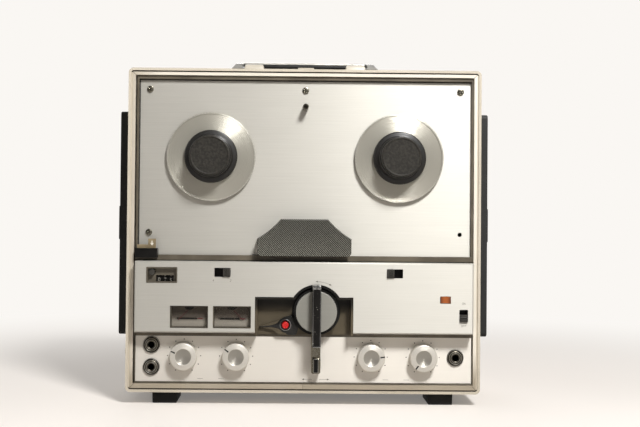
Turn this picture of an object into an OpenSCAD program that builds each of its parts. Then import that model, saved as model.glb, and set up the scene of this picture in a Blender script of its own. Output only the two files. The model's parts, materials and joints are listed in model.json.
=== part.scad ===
// Portable reel-to-reel tape recorder, standing on its feet with the lid off.
// X runs to the right, Y into the case and Z up. The origin is on the floor, under the middle of the
// whole object. Depths are measured from the front lip of the case: positive ones lie behind it.

/* [Case] */
// Width over the side walls
case_w = 354; // [346:1:372]
// Depth from the front lip to the back edge
case_depth = 165; // [158:1:200]
// Radius of the corners seen from the front
case_corner_r = 5; // [3.5:0.5:6.5]
// Thickness of the lip that shows round the front
lip_w = 2.6; // [2:0.2:3.4]
// Width of the groove for the rim of the lid
groove_w = 1.4; // [1:0.2:2.4]
// Depth of that groove
groove_depth = 4; // [2:0.5:8]
// Width of the trim strips
trim_w = 3; // [2:0.25:4]
// Depth of the trim strips
trim_depth = 13; // [9:0.5:16]
// How far the trim lies behind the lip
trim_recess = 0.8; // [0.4:0.1:2]
// Radius of the upper inner corners of the trim
trim_corner_r = 1; // [0.5:0.5:6]
// Extra height of the bottom trim strip
sill_extra = 1.6; // [0.5:0.1:3]
// How far the rear cover lies inside the back edge
rear_inset = 5; // [3:0.5:10]
// Thickness of the rear cover
rear_t = 3; // [2:0.5:5]
// Width of the ledge that carries the rear cover
ledge_w = 8; // [5:0.5:12]
// Width of the battens that carry the chassis
batten_w = 14; // [10:0.5:18]
// Depth of the battens
batten_d = 10; // [6:0.5:11]

/* [Feet] */
// Width of a foot
foot_w = 25; // [18:0.5:32]
// Length of a foot from front to back
foot_l = 46; // [25:1:60]
// Height of a foot
foot_h = 12; // [8:0.5:18]
// Distance of the feet from the middle of the case
foot_x = 138.5; // [120:0.5:145]
// Distance of the feet from the front and back edges
foot_inset = 8; // [5:0.5:18]

/* [Handle] */
// Depth of the handle's pivots
handle_y = 56; // [50:1:66]
// Height of the pivots over the case
handle_rise = 6.5; // [6:0.5:9]
// Distance from the pivots to the middle of the grip
handle_reach = 34; // [30:1:44]
// Angle at which the handle rests, folded back
handle_tilt = 9; // [4:1:14]
// Distance of a bracket's middle from the middle of the case
bracket_x = 53; // [46:0.5:56]
// Width of a bracket
bracket_w = 20; // [14:0.2:22]
// Height of a bracket
bracket_h = 11; // [10:0.5:14]
// Length of a bracket at its foot
bracket_l = 22; // [18:0.5:26]
// Gap between a bracket and an arm
arm_gap = 2.5; // [1:0.1:4]
// Width of an arm
arm_w = 13; // [10:0.2:18]
// Height of an arm
arm_h = 8.2; // [7:0.2:9]
// Height of an arm's middle over its pivot
arm_rise = 2; // [0:0.2:2.4]
// Length of an arm past its pivot
arm_heel = 5; // [4:0.25:5.5]
// Radius of the handle pins
handle_pin_r = 2.5; // [1.5:0.25:3]
// Width of the grip from front to back
grip_w = 15; // [10:0.5:18]
// Height of the grip
grip_h = 10; // [8:0.5:12]

/* [Lid fittings] */
// Radius of the lid studs on the sides
stud_r = 8; // [5:0.5:10]
// How far a stud stands out
stud_proud = 2.4; // [1.5:0.1:4]
// Depth of the studs behind the lip
stud_y = 14; // [11:0.5:18]
// Height of the studs over the case floor
stud_rise = 39; // [20:1:44]
// Width of the lid keeper on top
keeper_w = 16; // [10:0.5:24]
// Height of the keeper
keeper_h = 2; // [1.5:0.1:3]
// Depth of the keeper behind the lip
keeper_y = 5; // [2:0.5:10]

/* [Loudspeakers] */
// Length of a grille from front to back
grille_l = 126; // [110:1:130]
// Height of a grille
grille_h = 227; // [190:1:240]
// Depth of a grille's front edge behind the lip
grille_y = 22; // [20:0.5:26]
// Height of a grille's bottom edge over the case floor
grille_rise = 55; // [50:0.5:70]
// How far a grille stands out
grille_proud = 10.5; // [6:0.5:12]
// Wall of a grille
grille_t = 2.5; // [1.5:0.25:3.5]
// Corner radius of a grille
grille_corner_r = 4; // [3.5:0.5:14]
// Height of the raised centre bar
bar_h = 34; // [24:1:40]
// How far the centre bar stands over the grille
bar_proud = 1.3; // [0.6:0.1:2.5]
// Louvre slots above and below the bar
louvre_count = 11; // [6:1:12]
// Width of a louvre slot
louvre_w = 3; // [2:0.25:4]
// Spacing of the louvre slots
louvre_pitch = 7; // [6:0.25:7.5]
// Radius of the loudspeaker's flange
speaker_r = 46; // [40:0.5:50]
// Width of the flange
speaker_flange = 7; // [5:0.5:10]

/* [Deck] */
// Sideways offset of the deck and controls in the case
front_x = 0.5; // [0:0.1:1.2]
// Depth of the bezel's face behind the lip
bezel_recess = 3; // [2:0.5:5]
// Thickness of the bezel
bezel_t = 4; // [3:0.25:6]
// Width of the bezel beside the deck plate
bezel_side = 2; // [1.8:0.1:5]
// Width of the bezel over the deck plate
bezel_top = 3.8; // [2.5:0.1:6]
// Width of the bezel under the lower panel
bezel_low = 1.5; // [1.2:0.1:2]
// Width of the bezel beside the lower panel
bezel_low_side = 0.8; // [0.6:0.1:1.5]
// Visible height of the deck plate
deck_h = 176.2; // [172:0.2:180]
// Height of the divider bar under the deck
divider_h = 5.3; // [4:0.1:7]
// Thickness of the deck plate
deck_t = 2; // [1.5:0.25:3]
// How far the deck plate reaches under the bezel
deck_lap = 1.4; // [1:0.2:1.8]
// Distance between the two reel axes
reel_pitch = 189; // [184:0.5:194]
// Distance of the reel axes under the top of the deck
reel_drop = 77.6; // [74:0.2:82]
// Distance of the corner screws from the sides of the deck
screw_inset = 10.8; // [8:0.1:24]
// Distance of the upper screws under the top of the deck
screw_drop = 10; // [7:0.5:14]
// Height of the lower screws over the foot of the deck
screw_rise = 22.2; // [18:0.2:30]
// Radius of a screw head
screw_r = 3.4; // [2.6:0.1:4]
// Height of a screw head
screw_h = 1.8; // [1:0.1:2.5]
// Radius of a screw shank
shank_r = 1.9; // [1.2:0.1:2.2]
// Distance of the spare sleeve under the top of the deck
sleeve_drop = 27.4; // [24:0.2:40]
// Radius of the spare sleeve
sleeve_r = 3; // [2.4:0.1:4]
// Bore radius of the spare sleeve
sleeve_bore_r = 1.9; // [1.5:0.1:2]
// Length of the spare sleeve
sleeve_l = 13; // [8:0.5:18]

/* [Reel drive] */
// Radius of a reel table
table_r = 44.5; // [40:0.5:50]
// Thickness of a reel table
table_t = 3; // [2:0.25:4]
// Gap between a reel table and the deck plate
table_gap = 1.2; // [0.6:0.1:2]
// Radius of the reel shafts
shaft_r = 4; // [3:0.25:5]
// Length of the shaft in front of the table
shaft_nose = 18; // [12:0.5:20]
// Radius of a reel pulley at its flanges
pulley_r = 28; // [22:0.5:30]
// Depth of the belt groove in a reel pulley
pulley_groove = 2; // [1:0.25:3]
// Thickness of a reel pulley
pulley_t = 3.6; // [3:0.2:4]
// Radius of a reel pulley's hub
hub_r = 8; // [6:0.5:10]
// Radius of a reel cap at its foot
cap_r = 26.6; // [22:0.2:30]
// Radius of a reel cap at its top
cap_top_r = 19.6; // [16:0.2:21]
// Height of a reel cap
cap_h = 25; // [23:0.5:28]
// Height of the foot ring of a reel cap
cap_foot_h = 5; // [3:0.5:7]

/* [Tape path] */
// Radius of the head cover's hollow sides beside the reels
reel_clear_r = 95.2; // [93:0.2:97]
// Half width of the head cover at its foot
cover_half_w = 47.5; // [45:0.25:49]
// Half width of the head cover at its top
cover_top_w = 23.7; // [21:0.1:25]
// Height of the head cover's upright sides
cover_side_h = 16.9; // [14:0.1:18]
// Height of the head cover
cover_h = 36.6; // [34:0.2:38]
// How far the head cover stands over the deck plate
cover_proud = 18; // [16:0.5:20]
// Wall of the head cover
cover_t = 2; // [1.5:0.25:2.25]
// Radius of the head cover's lower corners
cover_corner_r = 4; // [3:0.5:5]
// Draw-in of the head cover's face, as a share of its outline
cover_draft = 0.025; // [0.01:0.005:0.04]
// Depth of the cover's side skirts, in front of the tape slots
skirt_d = 6; // [4:0.5:7]
// Height of the tape line over the foot of the head cover
tape_rise = 9; // [8.5:0.1:10]
// Width of a tape head
head_w = 12; // [9:0.5:13]
// Height of a tape head
head_h = 14; // [10:0.5:15]
// Place of the erase head beside the middle
erase_x = -22; // [-24:0.5:-20]
// Place of the record and play head beside the middle
play_x = -5; // [-7:0.5:-4]
// Place of the capstan beside the middle
capstan_x = 22; // [20:0.25:23]
// Radius of the capstan
capstan_r = 2.5; // [2:0.1:3]
// Radius of the pinch roller
roller_r = 8; // [6.5:0.25:8.5]
// Width of the pinch roller
roller_w = 10; // [7:0.5:10.5]
// Swing of the pinch arm from play to rest
pinch_swing = 8; // [4:0.5:10]
// Sideways distance from the pinch pivot to the capstan
pinch_dx = 15; // [13:0.25:16]
// Distance of the pinch pivot under the top of the head cover
pinch_drop = 7.1; // [6:0.1:8.5]
// Width of the pinch arm
pinch_w = 7; // [6:0.25:8]
// Radius of a tape guide
guide_r = 2; // [1.5:0.1:2.5]
// Radius of the flywheel
flywheel_r = 38; // [32:0.5:40]
// Thickness of the flywheel
flywheel_t = 6; // [4:0.25:6.5]
// Radius of the take-up pulley on the capstan
takeup_r = 9; // [7:0.25:11]
// Place of the motor beside the middle
motor_x = -58; // [-62:0.5:-52]
// Height of the motor over the foot of the deck
motor_rise = 9; // [4:0.5:14]
// Radius of the motor
motor_r = 30; // [24:0.5:32]
// Length of the motor
motor_l = 44; // [34:0.5:55]
// Radius of the motor pulley at the belt
motor_pulley_r = 7; // [5:0.25:9]
// Radius of the motor shaft
motor_shaft_r = 2.5; // [2:0.25:3]
// Thickness of the belts
belt_t = 1.2; // [0.8:0.1:1.6]
// Width of the belts
belt_w = 2.4; // [1.6:0.1:2.6]

/* [Chassis] */
// Space between the deck plate and the chassis
chassis_gap = 15; // [14.5:0.25:18]
// Thickness of the chassis
chassis_t = 2; // [1.5:0.25:3]
// How far the chassis laps over the battens
chassis_lap = 8; // [4:0.5:9]
// Radius of the posts between the chassis and the plates
standoff_r = 4; // [3.2:0.2:5]
// Outer radius of the bearing bushes
bush_r = 7; // [6:0.25:9]
// Length of the bearing bushes behind the chassis
bush_l = 10; // [6:0.5:14]
// Thickness of a bush's flange
bush_flange_t = 1.6; // [1:0.2:2]
// Width of the mains inlet
inlet_w = 30; // [22:0.5:36]
// Place of the transformer beside the middle
transformer_x = 92; // [84:1:98]
// Height of the mains inlet
inlet_h = 20; // [16:0.5:26]
// Place of the mains inlet beside the middle
inlet_x = 112; // [90:1:120]
// Height of the mains inlet over the case floor
inlet_rise = 34; // [26:1:44]

/* [Control panel] */
// How far the control panel stands in front of the lip
panel_proud = 12; // [10:0.5:14]
// Height of the control panel
panel_h = 70.3; // [68:0.1:72]
// Wall of the control panel
panel_t = 2.5; // [2:0.25:3]
// Gap between the control panel and the bezel round it
panel_gap = 0.7; // [0.4:0.1:1]
// Front edge bevel of the control panel
panel_bevel = 1.2; // [0.5:0.1:1.8]
// Corner radius of the windows
window_r = 0.8; // [0.4:0.1:1.2]
// Distance of the counter's middle from the left side of the panel
counter_inset = 26.8; // [24:0.2:30]
// Distance of the counter's middle under the top of the panel
counter_drop = 13.6; // [12.5:0.1:15]
// Width of the counter recess
counter_w = 30.8; // [29:0.2:33]
// Height of the counter recess
counter_h = 15.8; // [15:0.2:17]
// Depth of the counter recess
counter_d = 5; // [4:0.25:6]
// Sideways place of the digit window in the recess
digit_dx = 2.6; // [2:0.1:4]
// Height of the digit window under the recess's middle
digit_dz = 3.5; // [3:0.1:3.8]
// Width of the digit window
digit_w = 17.6; // [15:0.2:18]
// Height of the digit window
digit_h = 6.2; // [5:0.1:7]
// Radius of a digit wheel
wheel_r = 8; // [6.5:0.25:9]
// Radius of the wheels' axle
axle_r = 1.5; // [1:0.1:2]
// Radius of the reset button
reset_r = 3; // [2:0.1:3.2]
// How far the reset button stands over the recess
reset_proud = 4.5; // [3.5:0.25:6]
// Sideways place of the reset button in the recess
reset_dx = -10; // [-11:0.1:-9.8]
// Height of the reset button over the recess's middle
reset_dz = 2.6; // [2.2:0.1:3.2]
// Width of the two horizontal switch slots
switch_w = 16; // [14:0.2:18]
// Height of the two horizontal switch slots
switch_h = 9; // [8:0.2:10]
// Distance of these switches under the top of the panel
switch_drop = 10.6; // [9:0.1:13]
// Place of the track switch beside the middle
track_x = -81; // [-86:0.2:-76]
// Place of the speed switch beside the middle
speed_x = 89.5; // [85:0.2:95]
// Width of the power switch slot
power_w = 8.6; // [7:0.2:10]
// Height of the power switch slot
power_h = 12.4; // [11:0.2:14]
// Distance of the power switch from the right side of the panel
power_inset = 9.8; // [9:0.2:12]
// Distance of the power switch under the top of the panel
power_drop = 51.8; // [46:0.2:56]
// Length of a switch knob along its slot
slider_l = 7; // [5:0.25:8]
// How far a switch knob stands over the panel
slider_proud = 2; // [1:0.25:4]
// Depth of a switch slot
slot_d = 5; // [3:0.25:6]
// Width of the pilot lens
pilot_w = 10.7; // [8:0.2:13]
// Height of the pilot lens
pilot_h = 7; // [5:0.2:9]
// Distance of the pilot lens from the right side of the panel
pilot_inset = 27.9; // [25:0.2:33]
// Distance of the pilot lens under the top of the panel
pilot_drop = 36; // [30:0.2:40]
// Distance of the middle of the meters from the side of the selector well
meter_inset = 43.85; // [42.5:0.05:47]
// Distance between the two meters
meter_pitch = 42.3; // [41.6:0.1:45]
// Distance of the meters under the top of the panel
meter_drop = 54.8; // [53.5:0.1:54.9]
// Width of a meter window
meter_w = 37.6; // [34:0.2:38]
// Height of a meter window
meter_h = 22; // [20:0.1:22]
// Depth of a meter case
meter_d = 24; // [18:0.5:27]
// Length of a meter needle
needle_l = 16; // [12:0.25:16.5]
// Angle of a resting needle from the vertical
needle_rest = 44; // [34:1:46]

/* [Selector] */
// Width of the selector well
well_w = 97.3; // [90:0.2:102]
// Distance of the well's top under the top of the panel
well_drop = 34.4; // [30:0.2:40]
// Depth of the well behind the panel face
well_d = 13.7; // [12:0.1:14.6]
// Wall of the well
well_t = 2; // [1.5:0.25:2.25]
// Place of the selector axis beside the middle
selector_x = 12.2; // [8:0.2:16]
// Distance of the selector axis under the top of the panel
selector_drop = 48.9; // [46:0.1:50]
// Radius of the round part of the well
dial_well_r = 27; // [25:0.2:28]
// Radius of the selector dial
dial_r = 20.4; // [18:0.2:20.8]
// Thickness of the selector dial
dial_t = 3; // [2:0.25:4]
// Gap between the dial and the collar round it
collar_gap = 0.6; // [0.5:0.1:1.2]
// Wall of the collar
collar_t = 1.4; // [1:0.2:3]
// Half angle of the collar's gap for the wind lever
collar_open = 40; // [36:1:55]
// Width of the selector bar
bar_w = 8.6; // [7:0.2:10]
// Reach of the bar above the axis
bar_up = 27; // [24:0.2:29]
// Reach of the bar below the axis
bar_down = 33.8; // [30:0.2:40]
// How far the bar stands over the panel
bar_height = 12; // [8:0.5:14]
// Radius of the selector shaft
selector_shaft_r = 4; // [3:0.25:5]
// Radius of the wind lever's hub
wind_hub_r = 11; // [8:0.5:13]
// Thickness of the wind lever
wind_t = 4; // [3:0.25:4.5]
// Width of the wind lever
wind_w = 9.8; // [8:0.2:10.4]
// Reach of the wind lever below the axis
wind_reach = 62; // [56:0.5:64]
// Height of the wind lever's grip
wind_grip_h = 8; // [6:0.5:10]
// Radius of the record button
record_r = 4; // [3:0.1:4.6]
// Sideways place of the record button from the selector axis
record_dx = -30.6; // [-33:0.2:-28.6]
// Height of the record button under the selector axis
record_dz = 14; // [13:0.1:16.2]
// How far the record button stands over its base
record_proud = 4.5; // [4:0.25:6]
// Radius of the record button's base
record_base_r = 6.6; // [5.6:0.1:7]
// Height of that base
record_base_h = 3; // [2:0.25:4]

/* [Lower panel] */
// Visible height of the lower panel
low_h = 49.9; // [44:0.1:60]
// Depth of the lower panel behind the lip
low_recess = 4; // [3.2:0.1:5]
// Thickness of the lower panel
low_t = 2; // [1.5:0.25:2.5]
// Sideways distance of the outer knobs from the jacks
knob_inset = 32.6; // [29:0.1:39]
// Distance between an outer and an inner knob
knob_pitch = 52.1; // [42:0.1:56]
// Height of the knobs over the foot of the panel
knob_rise = 26; // [24:0.1:30]
// Radius of a knob
knob_r = 13.5; // [10:0.25:15]
// Height of a knob over the panel
knob_h = 11.5; // [11:0.25:17]
// Gap between a knob and the panel
knob_gap = 1; // [0.5:0.1:2]
// Radius of the spun centre of a knob
knob_centre_r = 8.3; // [6:0.1:9]
// Depth of the spun centre
knob_dish = 1.6; // [0.8:0.1:2.4]
// Fall of the ring round the centre
knob_fall = 0.8; // [0.4:0.1:1.6]
// Width of the pointer notch
notch_w = 1.4; // [0.8:0.1:2]
// Depth of the pointer notch
notch_d = 0.7; // [0.4:0.1:1.2]
// Angle of the pointers, from the right, anticlockwise
pointer_angles = [156, 145, 5, 233];
// Radius of a potentiometer
pot_r = 8.5; // [7:0.25:10]
// Depth of a potentiometer
pot_d = 12; // [8:0.5:15]
// Radius of a potentiometer's shaft
pot_shaft_r = 3; // [2:0.25:4]
// Distance of the jacks from the sides of the lower panel
jack_inset = 16.3; // [13:0.1:19]
// Height of the middle of the jacks over the foot of the panel
jack_rise = 25.8; // [24:0.1:28]
// Distance between the two left jacks
jack_pitch = 22.2; // [19:0.2:26]
// Radius of a jack's ring
jack_r = 8.4; // [7.5:0.1:9]
// Thickness of a jack's ring
jack_ring_t = 3; // [2:0.25:4]
// Bore radius of a jack, for a 6.35 mm plug
jack_bore_r = 3.2; // [3.18:0.02:3.4]
// Radius of a jack's barrel
jack_barrel_r = 5.4; // [4.8:0.1:6]
// Length of a jack's barrel behind the panel
jack_barrel_l = 15; // [12:0.5:17]

/* [Pause slider] */
// Width of the guide block
guide_block_w = 22.2; // [20:0.2:26]
// Height of the guide block
guide_block_h = 9.2; // [8:0.1:11]
// How far the guide block stands over the bezel
guide_block_d = 8; // [6:0.25:10]
// Height of the guide block's foot over the foot of the divider
guide_block_rise = 2.6; // [1.5:0.1:3]
// Distance of the guide block's left end from the bezel's edge
guide_block_inset = 0.6; // [0.4:0.1:2.4]
// Thickness of the slider plate
pause_t = 1.6; // [1.2:0.1:2]
// Height of the slider plate's strip over the block
pause_strip_h = 3.6; // [2.5:0.1:5]
// Width of the slider's tab
pause_tab_w = 7.6; // [5:0.1:9]
// Height of the slider's tab over the block
pause_tab_h = 9.4; // [7:0.1:12]

/* [Clearances] */
// Gap of a turning fit, on the radius
run_fit = 0.05; // [0.02:0.01:0.1]
// Gap round a piece that drops into an opening
drop_fit = 0.3; // [0.2:0.05:0.45]
// Gap between faces that slide or turn past each other
face_gap = 0.3; // [0.2:0.05:0.5]
// Gap round a shaft that only passes through a hole
hole_gap = 1; // [0.6:0.1:1.5]

/* [Hidden] */
$fn = 64;

cream = "#e9e0cd";
taupe = "#6b6250";
metal = "#c9c6bd";
chrome = "#d8d8d6";
black = "#1d1c1a";
rubber = "#3b3a39";
steel = "#8d9092";
brass = "#b39a57";

// Length by which a cut reaches past the faces that it opens, or a joined piece into its neighbour
over = 1;

// The case, from the outside in
wall = lip_w + groove_w + trim_w;
inner_w = case_w - 2 * wall;
inner_h = bezel_top + deck_h + divider_h + panel_h + 2 * panel_gap + low_h + bezel_low + sill_extra;
case_h = inner_h + 2 * wall;
case_top = foot_h + case_h;
inner_top = case_top - wall;
inner_foot = foot_h + wall;
sill_top = inner_foot + sill_extra;
rear_y = case_depth - rear_inset - rear_t;

// Heights on the front, from the top down
deck_top = inner_top - bezel_top;
deck_foot = deck_top - deck_h;
panel_top = deck_foot - divider_h - panel_gap;
panel_foot = panel_top - panel_h;
low_foot = sill_top + bezel_low;
low_top = panel_foot - panel_gap;

// Widths on the front
bezel_w = inner_w - 2 * (drop_fit + front_x);
deck_w = bezel_w - 2 * bezel_side;
low_w = bezel_w - 2 * bezel_low_side;
panel_w = low_w - 2 * panel_gap;

// Depths, positive behind the lip
deck_y = bezel_recess + bezel_t;
deck_back = deck_y + deck_t;
chassis_y = deck_back + chassis_gap;
chassis_back = chassis_y + chassis_t;
panel_y = -panel_proud;
panel_inner_y = panel_y + panel_t;
low_back = low_recess + low_t;

// Reels
reel_z = deck_top - reel_drop;
table_back = deck_y - table_gap;
table_front = table_back - table_t;
cap_foot_y = table_front - face_gap;
cap_front = cap_foot_y - cap_h;
nose_front = table_front - shaft_nose;
pulley_front = deck_back + hole_gap;
pulley_back = pulley_front + pulley_t;
bush_front = chassis_y - bush_flange_t;
bush_back = chassis_back + bush_l;

// Tape path
cover_front = deck_y - cover_proud;
cover_chord = [cover_top_w - cover_half_w, cover_h - cover_side_h];
cover_sag = sqrt(pow(reel_clear_r, 2) - pow(norm(cover_chord) / 2, 2));
cover_hollow = [cover_half_w, cover_side_h] + cover_chord / 2
  + cover_sag * [cover_chord[1], -cover_chord[0]] / norm(cover_chord);
tape_z = deck_foot + tape_rise;
capstan_z = tape_z - capstan_r - face_gap;
roller_play_z = capstan_z + capstan_r + roller_r + face_gap;
pinch_x = capstan_x - pinch_dx;
pinch_z = deck_foot + cover_h - pinch_drop;
pinch_dz = pinch_z - roller_play_z;
pinch_plate_t = 2;
pinch_back = deck_y - face_gap;
pinch_front = pinch_back - pinch_plate_t;
roller_back = pinch_front - face_gap;
roller_front = roller_back - roller_w;
flywheel_front = pulley_back + hole_gap;
flywheel_back = flywheel_front + flywheel_t;
flywheel_mid = (flywheel_front + flywheel_back) / 2;
pulley_mid = (pulley_front + pulley_back) / 2;
motor_z = deck_foot + motor_rise;
belt_seat = 1.2;

// Controls
counter_x = counter_inset - panel_w / 2;
counter_z = panel_top - counter_drop;
counter_floor_y = panel_y + counter_d;
counter_floor_t = 1.5;
digit_x = counter_x + digit_dx;
digit_z = counter_z - digit_dz;
wheel_y = counter_floor_y + counter_floor_t + face_gap + wheel_r;
wheel_w = (digit_w - 4 * face_gap) / 3;
cheek_t = 1.4;
reset_x = counter_x + reset_dx;
reset_z = counter_z + reset_dz;
switch_z = panel_top - switch_drop;
power_x = panel_w / 2 - power_inset;
power_z = panel_top - power_drop;
slot_y = panel_inner_y + slot_d;
switch_wall = 2;
slider_clear = 0.4;
pilot_x = panel_w / 2 - pilot_inset;
pilot_z = panel_top - pilot_drop;
meter_x = -well_w / 2 - meter_inset;
meter_z = panel_top - meter_drop;
meter_wall = 1.6;
dial_plate_y = panel_inner_y + 6;
needle_y = dial_plate_y - 2;
needle_pivot_z = meter_z + meter_h / 2 - 3;
pivot_r = 0.9;
needle_hub_r = 1.7;
needle_t = 0.6;
needle_w = 0.7;
selector_z = panel_top - selector_drop;
well_top = panel_top - well_drop;
well_foot = low_top - 1.4;
well_flange = 1.5;
well_y = panel_y + well_d;
wind_back = well_y - face_gap;
wind_front = wind_back - wind_t;
dial_front = panel_y - 2 * face_gap;
dial_back = panel_y + dial_t;
boss_back = wind_front - face_gap;
dial_boss_r = 9;
bar_front = panel_y - bar_height;
record_x = selector_x + record_dx;
record_z = selector_z - record_dz;
knob_z = low_foot + knob_rise;
jack_x = low_w / 2 - jack_inset;
knob_outer_x = jack_x - knob_inset;
knob_inner_x = knob_outer_x - knob_pitch;
knob_xs = [-knob_outer_x, -knob_inner_x, knob_inner_x, knob_outer_x];
knob_back = low_recess - knob_gap;
knob_front = low_recess - knob_h;
pot_back = low_back + pot_d;
jack_z = low_foot + jack_rise;
jack_places = [[-jack_x, jack_z + jack_pitch / 2], [-jack_x, jack_z - jack_pitch / 2], [jack_x, jack_z]];
jack_front = low_recess - jack_ring_t;
jack_back = low_back + jack_barrel_l;
jack_wall = 1.5;
block_x = -bezel_w / 2 + guide_block_inset;
block_foot = deck_foot - divider_h + guide_block_rise;
block_top = block_foot + guide_block_h;
block_front = bezel_recess - guide_block_d;
block_wall = 1.6;

// Places of the deck screws; the lower right hole is empty, as in the photographed recorder
screw_x = deck_w / 2 - screw_inset;
screw_top = deck_top - screw_drop;
screw_low = deck_foot + screw_rise;
screw_places = [[-screw_x, screw_top], [0, screw_top], [screw_x, screw_top], [-screw_x, screw_low]];
empty_hole = [screw_x, screw_low];

// The foremost and rearmost faces share the middle of the frame
front_reach = max(panel_proud + bar_height, -cap_front);
lip_y = (front_reach - case_depth) / 2;

// Amplifier board with its posts and parts, and the transformer
board_w = 150;
board_l = 80;
board_t = 1.6;
board_x = -100;
board_y = 62;
board_rise = 8;
post_r = 3;
part_r = 7;
part_h = 22;
sink_w = 34;
sink_h = 26;
core_h = 52;
core_l = 26;
winding_l = 44;

// Grilles and loudspeakers
grille_mid_y = grille_y + grille_l / 2;
grille_mid_z = foot_h + grille_rise + grille_h / 2;
handle_z = case_top + handle_rise;
arm_x = bracket_x + bracket_w / 2 + arm_gap;

// Puts a piece behind the lip of the case
module in_case() { translate([0, lip_y, 0]) children(); }
// Puts a piece on the deck and controls, which sit a little to the right in the case
module on_front() { translate([front_x, lip_y, 0]) children(); }
// An outline in X and Z, made a slab from depth y with thickness t
module standing(y, t) { translate([0, y + t, 0]) rotate([90, 0, 0]) linear_extrude(t) children(); }
// An outline in Y and Z, made a slab from place x with thickness t
module sideways(x, t) { translate([x, 0, 0]) rotate([90, 0, 90]) linear_extrude(t) children(); }
// A round bar along Y between two depths
module drum(x, z, front, back, r) {
  translate([x, back, z]) rotate([90, 0, 0]) cylinder(h = back - front, r = r);
}
// A round bar along X
module axle(x, y, z, length, r) { translate([x, y, z]) rotate([0, 90, 0]) cylinder(h = length, r = r); }
// A profile of radius and height turned about Y, its height towards the viewer
module turned(x, y, z) { translate([x, y, z]) rotate([90, 0, 0]) rotate_extrude() children(); }
module rounded_rect(w, h, r) {
  square([w - 2 * r, h], center = true);
  square([w, h - 2 * r], center = true);
  for (x = [-1, 1], y = [-1, 1]) translate([x * (w / 2 - r), y * (h / 2 - r)]) circle(r);
}
module slot_shape(l, w) {
  square([l - w, w], center = true);
  for (x = [-1, 1]) translate([x * (l - w) / 2, 0]) circle(d = w);
}
module at_case() { translate([0, foot_h + case_h / 2]) children(); }
module at_grille() { translate([grille_mid_y, grille_mid_z]) children(); }

module case_shell() {
  color(cream) in_case() difference() {
    union() {
      difference() {
        standing(0, case_depth) at_case() rounded_rect(case_w, case_h, case_corner_r);
        standing(-over, case_depth + 2 * over) at_case() square([inner_w, inner_h], center = true);
        standing(-over, trim_recess + trim_depth + over) at_case()
          square([inner_w + 2 * trim_w, inner_h + 2 * trim_w], center = true);
        standing(-over, groove_depth + over) at_case()
          rounded_rect(case_w - 2 * lip_w, case_h - 2 * lip_w, case_corner_r - lip_w);
      }
      for (side = [-1, 1]) translate([side * (inner_w - batten_w + over) / 2, chassis_back + batten_d / 2,
        foot_h + case_h / 2]) cube([batten_w + over, batten_d, inner_h + over], center = true);
      standing(rear_y - ledge_w, ledge_w) at_case() difference() {
        square([inner_w + over, inner_h + over], center = true);
        square([inner_w - 2 * ledge_w, inner_h - 2 * ledge_w], center = true);
      }
    }
    axle(-case_w, grille_mid_y, grille_mid_z, 2 * case_w, speaker_r - speaker_flange);
  }
}

// A panel with a square foot and rounded upper corners
module top_rounded(w, foot, top, r) {
  translate([-w / 2, foot]) square([w, top - foot - r]);
  translate([r - w / 2, foot]) square([w - 2 * r, top - foot]);
  for (side = [-1, 1]) translate([side * (w / 2 - r), top - r]) circle(r);
}
// A moulding folded round the front, with fold lines at the corners and its joint in the foot
module front_trim() {
  line = 0.4;
  x_out = inner_w / 2 + trim_w;
  z_hi = inner_top + trim_w;
  z_lo = inner_foot - trim_w;
  color(cream) in_case() difference() {
    standing(trim_recess, trim_depth) difference() {
      translate([-x_out, z_lo]) square([2 * x_out, z_hi - z_lo]);
      top_rounded(inner_w, sill_top, inner_top, trim_corner_r);
    }
    for (side = [-1, 1], up = [-1, 1])
      translate([side * x_out, trim_recess, up > 0 ? z_hi : z_lo]) rotate([0, side * up * 45, 0])
        cube([line, 2 * line, 4 * trim_w], center = true);
    translate([0, trim_recess, z_lo]) cube([line, 2 * line, 4 * trim_w], center = true);
  }
}

module rear_cover() {
  vent_l = 58;
  vent_w = 4;
  vent_pitch = 11;
  vent_count = 9;
  vent_x = inner_w / 4;
  color(taupe) in_case() standing(rear_y, rear_t) difference() {
    at_case() square([inner_w - 2 * drop_fit, inner_h - 2 * drop_fit], center = true);
    for (x = [-vent_x, 0, vent_x], i = [0 : vent_count - 1])
      translate([x, foot_h + case_h / 2 + i * vent_pitch]) slot_shape(vent_l, vent_w);
    translate([inlet_x, inner_foot + inlet_rise])
      square([inlet_w + 2 * drop_fit, inlet_h + 2 * drop_fit], center = true);
  }
}

module feet() {
  foot_taper = 0.4;
  color(black) in_case() for (x = [-foot_x, foot_x], y = [foot_inset, case_depth - foot_inset - foot_l])
    translate([x, 0, 0]) standing(y, foot_l)
      polygon([[foot_taper - foot_w / 2, 0], [foot_w / 2 - foot_taper, 0], [foot_w / 2, foot_h],
        [-foot_w / 2, foot_h]]);
}

module handle_brackets() {
  bracket_draft = 3;
  half = bracket_l / 2;
  color(cream) in_case() difference() {
    for (x = [-bracket_x, bracket_x]) sideways(x - bracket_w / 2, bracket_w)
      translate([handle_y, case_top])
        polygon([[-half, 0], [half, 0], [half - bracket_draft, bracket_h],
          [bracket_draft - half, bracket_h]]);
    axle(-case_w / 2, handle_y, handle_z, case_w, handle_pin_r + run_fit);
  }
}

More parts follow.
